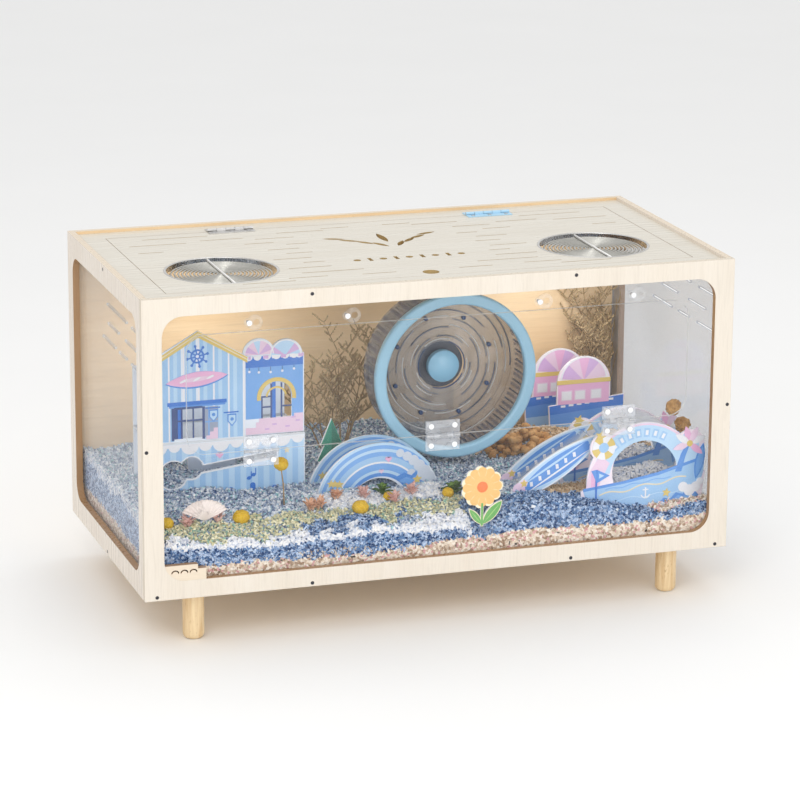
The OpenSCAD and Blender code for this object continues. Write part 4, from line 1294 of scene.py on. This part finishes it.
def make_dried_flowers():
    rng = random.Random(3)
    lumps = Lumps()
    yellow, peach, pink, green, stalk = range(5)
    for x, y, r in ((-258, -152, 11), (-98, -156, 11), (-358, -156, 9), (-52, -132, 7), (28, -140, 8)):
        lumps.ball(on_bed(x, y, 5), (r, r * 0.9, r * 0.86), yellow, 0.16, 6, 3)
    ball_x, ball_y, ball_z = -195, -120, 142 + BOX_BASE / MM
    lumps.ball((ball_x, ball_y, ball_z), (9.5, 9.5, 9), yellow, 0.16, 6, 3)
    stem = [on_bed(ball_x + 4, ball_y, -6), (ball_x + 3, ball_y, ball_z - 30), (ball_x, ball_y, ball_z - 6)]
    lumps.tube(stem, [1.1, 0.9, 0.8], stalk, 6)
    spots = ((-332, -160, pink), (-290, -152, pink), (-161, -140, peach), (-148, -138, peach),
             (-47, -140, pink), (-18, -128, pink), (-120, -122, peach), (-84, -126, pink))
    for x, y, pick in spots:
        for i in range(26):
            turn = rng.uniform(0, 2 * math.pi)
            reach = rng.uniform(2, 9)
            root = on_bed(*polar(x, y, 3, turn), 2 + 0.3 * i)
            lumps.leaf(root, (*polar(0, 0, reach, turn), 6), rng.uniform(7, 11), 4.6, pick, 0.4)
    for x, y in ((-56, -118), (36, -132), (44, -126)):
        for i in range(12):
            turn = 2.4 * i
            root = on_bed(x, y, 3 + 0.7 * i)
            ahead = (*polar(0, 0, 1, turn), 0.2 + 0.07 * i)
            lumps.leaf(root, ahead, 17 - 0.8 * i, 7.5, green, 0.5)
    finishes = [
        organic("dried_yellow", (0.66, 0.38, 0.02), (0.84, 0.58, 0.06), 900, 0.85, 0.0012),
        organic("dried_peach", (0.72, 0.34, 0.20), (0.84, 0.52, 0.34), 500),
        organic("dried_pink", (0.76, 0.42, 0.38), (0.86, 0.60, 0.54), 500),
        organic("succulent", (0.06, 0.14, 0.03), (0.20, 0.32, 0.08), 160, 0.45),
        organic("flower_stalk", (0.34, 0.22, 0.10), (0.48, 0.34, 0.18), 500),
    ]
    lumps.done("dried_flowers", "loose_bedding", finishes)


def make_shell():
    """A ribbed scallop shell that leans on the bedding."""
    lumps = Lumps()
    ribs, rings = 44, 10
    x0, y0, z0 = on_bed(-308, -146, 0)
    points = []
    for skin in (0.0, -1.0):
        for j in range(rings + 1):
            t = j / rings
            for i in range(ribs + 1):
                angle = math.radians(28 + 124 * i / ribs)
                ridge = 1.1 * t * math.cos(2 * math.pi * i / 4)
                reach = 34 * t + 0.5 * ridge
                lift = 11 * math.sin(math.pi * min(t * 0.75 + 0.08, 1)) + ridge + skin
                out = reach * math.sin(angle) * 0.84 + lift * 0.2
                points.append((x0 + reach * math.cos(angle), y0 - 6 - lift * 0.75, z0 + out))
    lumps.add(points, two_skins(ribs + 1, rings + 1))
    skin = organic("shell", (0.82, 0.70, 0.66), (0.90, 0.84, 0.80), 90, 0.4, 0.0003)
    lumps.done("scallop_shell", "loose_bedding", [skin])


# ---------- steel grilles and wheel details ----------

def loft(stations, sides, closed):
    """Faces between rings of points; the last ring joins the first when closed."""
    faces = []
    for i in range(stations if closed else stations - 1):
        j = (i + 1) % stations
        for k in range(sides):
            n = (k + 1) % sides
            faces.append((i * sides + k, j * sides + k, j * sides + n, i * sides + n))
    return faces


def ring_mesh(lumps, centre, axis, radius, wire, start=0.0, stop=360.0, segments=90, pick=0):
    """A round wire ring, or an arc of one, about an axis along Y or Z."""
    sides = 8
    whole = abs(stop - start) >= 360
    count = segments if whole else max(6, int(segments * (stop - start) / 360))
    stations = count if whole else count + 1
    points = []
    for i in range(stations):
        t = math.radians(start + (stop - start) * i / count)
        for k in range(sides):
            p = 2 * math.pi * k / sides
            reach, rise = radius + wire * math.cos(p), wire * math.sin(p)
            across, along = polar(0, 0, reach, t)
            point = (across, along, rise) if axis == "Z" else (across, -rise, along)
            points.append(tuple(c + v for c, v in zip(centre, point)))
    faces = loft(stations, sides, whole)
    if not whole:
        faces.append(tuple(range(sides)))
        faces.append(tuple(reversed(range((stations - 1) * sides, stations * sides))))
    lumps.add(points, faces, pick)


GRILLE_RINGS, RING_PITCH, WIRE_R, ROD_R = 13, 5.05, 1.4, 1.5


def make_grilles():
    finishes = [
        steel("polished_wire", (0.56, 0.55, 0.51), 0.22),
        steel("collar_steel", (0.70, 0.69, 0.67), 0.24, (1, 1, 0.1)),
        # the cross bar's much paler steel tone paints the highlight that runs along it
        steel("bar_steel_painted_highlight", (0.95, 0.94, 0.92), 0.5),
    ]
    for side in ("left", "right"):
        low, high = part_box("vent_grille_" + side)
        x, y, z = (c / MM for c in middle_of("vent_grille_" + side))
        outer = (high.x - low.x) / 2 / MM
        base, top = low.z / MM, high.z / MM
        lumps = Lumps()
        for i in range(1, GRILLE_RINGS + 1):
            ring_mesh(lumps, (x, y, z - 0.6), "Z", RING_PITCH * i, WIRE_R)
        rod_z = z + 2.2
        lumps.tube([(x, y - outer + 2, rod_z), (x, y + outer - 2, rod_z)], [ROD_R, ROD_R], 2, 10)
        # the collar's section: distance inside the rim, and height
        profile = ((0.1, base + 0.2), (0.1, top + 0.5), (1.2, top + 0.8), (3.0, top + 0.5),
                   (3.6, top - 0.6), (2.2, top - 0.9), (1.6, base + 0.2))
        segments = 120
        points = []
        for i in range(segments):
            turn = 2 * math.pi * i / segments
            points += [(*polar(x, y, outer - inset, turn), height) for inset, height in profile]
        lumps.add(points, loft(segments, len(profile), True), 1)
        piece = lumps.done("wire_grille_" + side, "grille_steel", finishes, "lid")
        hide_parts("vent_grille_" + side)


RIDGE_RADII = (33, 41, 53, 65, 77, 89, 99)
STUD_REACH = 71


def make_wheel_details():
    centre_x, _, centre_z = (c / MM for c in middle_of("wheel_drum"))
    disc_y = high_of("wheel_drum").y / MM - 2.5
    centre = (centre_x, disc_y, centre_z)
    rng = random.Random(14)
    lumps = Lumps()
    for ring_number, radius in enumerate(RIDGE_RADII):
        arcs = 3 + ring_number % 2
        for i in range(arcs):
            start = 360 / arcs * i + rng.uniform(-18, 18) + 37 * ring_number
            span = rng.uniform(0.5, 0.82) * 360 / arcs
            ring_mesh(lumps, centre, "Y", radius, 0.9, start, start + span, 120, ring_number % 2)
            # pale arcs just outside each ridge: painted highlights, glints of light on the disc
            glint = start + rng.uniform(40, 110)
            ring_mesh(lumps, centre, "Y", radius + 3.4, 0.8, glint, glint + span * 0.7, 120, 2)
    for i in range(8):
        x, z = polar(centre_x, centre_z, STUD_REACH, math.radians(45 * i + 20))
        stud = [(x, disc_y + 0.5, z), (x, disc_y - 4.5, z), (x, disc_y - 5.2, z)]
        lumps.tube(stud, [3.0, 3.0, 2.2], 0, 14)
    tones = [
        moulded("ridge_navy", (0.04, 0.08, 0.20), 0.2, 0.02),
        moulded("ridge_slate", (0.13, 0.17, 0.26), 0.2, 0.02),
        # the third finish colours the painted glint arcs
        clear_moulding("painted_glint_arcs", (0.93, 0.94, 0.96), 0.7, 0.06),
    ]
    lumps.done("wheel_ridges_and_glints", "smoky_plastic", tones, "wheel")


# ---------- making ----------

make_camera()
make_studio()
make_materials()
make_boards()
make_bedding()
make_nuts()
make_biscuits()
make_twigs()
make_dried_flowers()
make_shell()
make_grilles()
make_wheel_details()
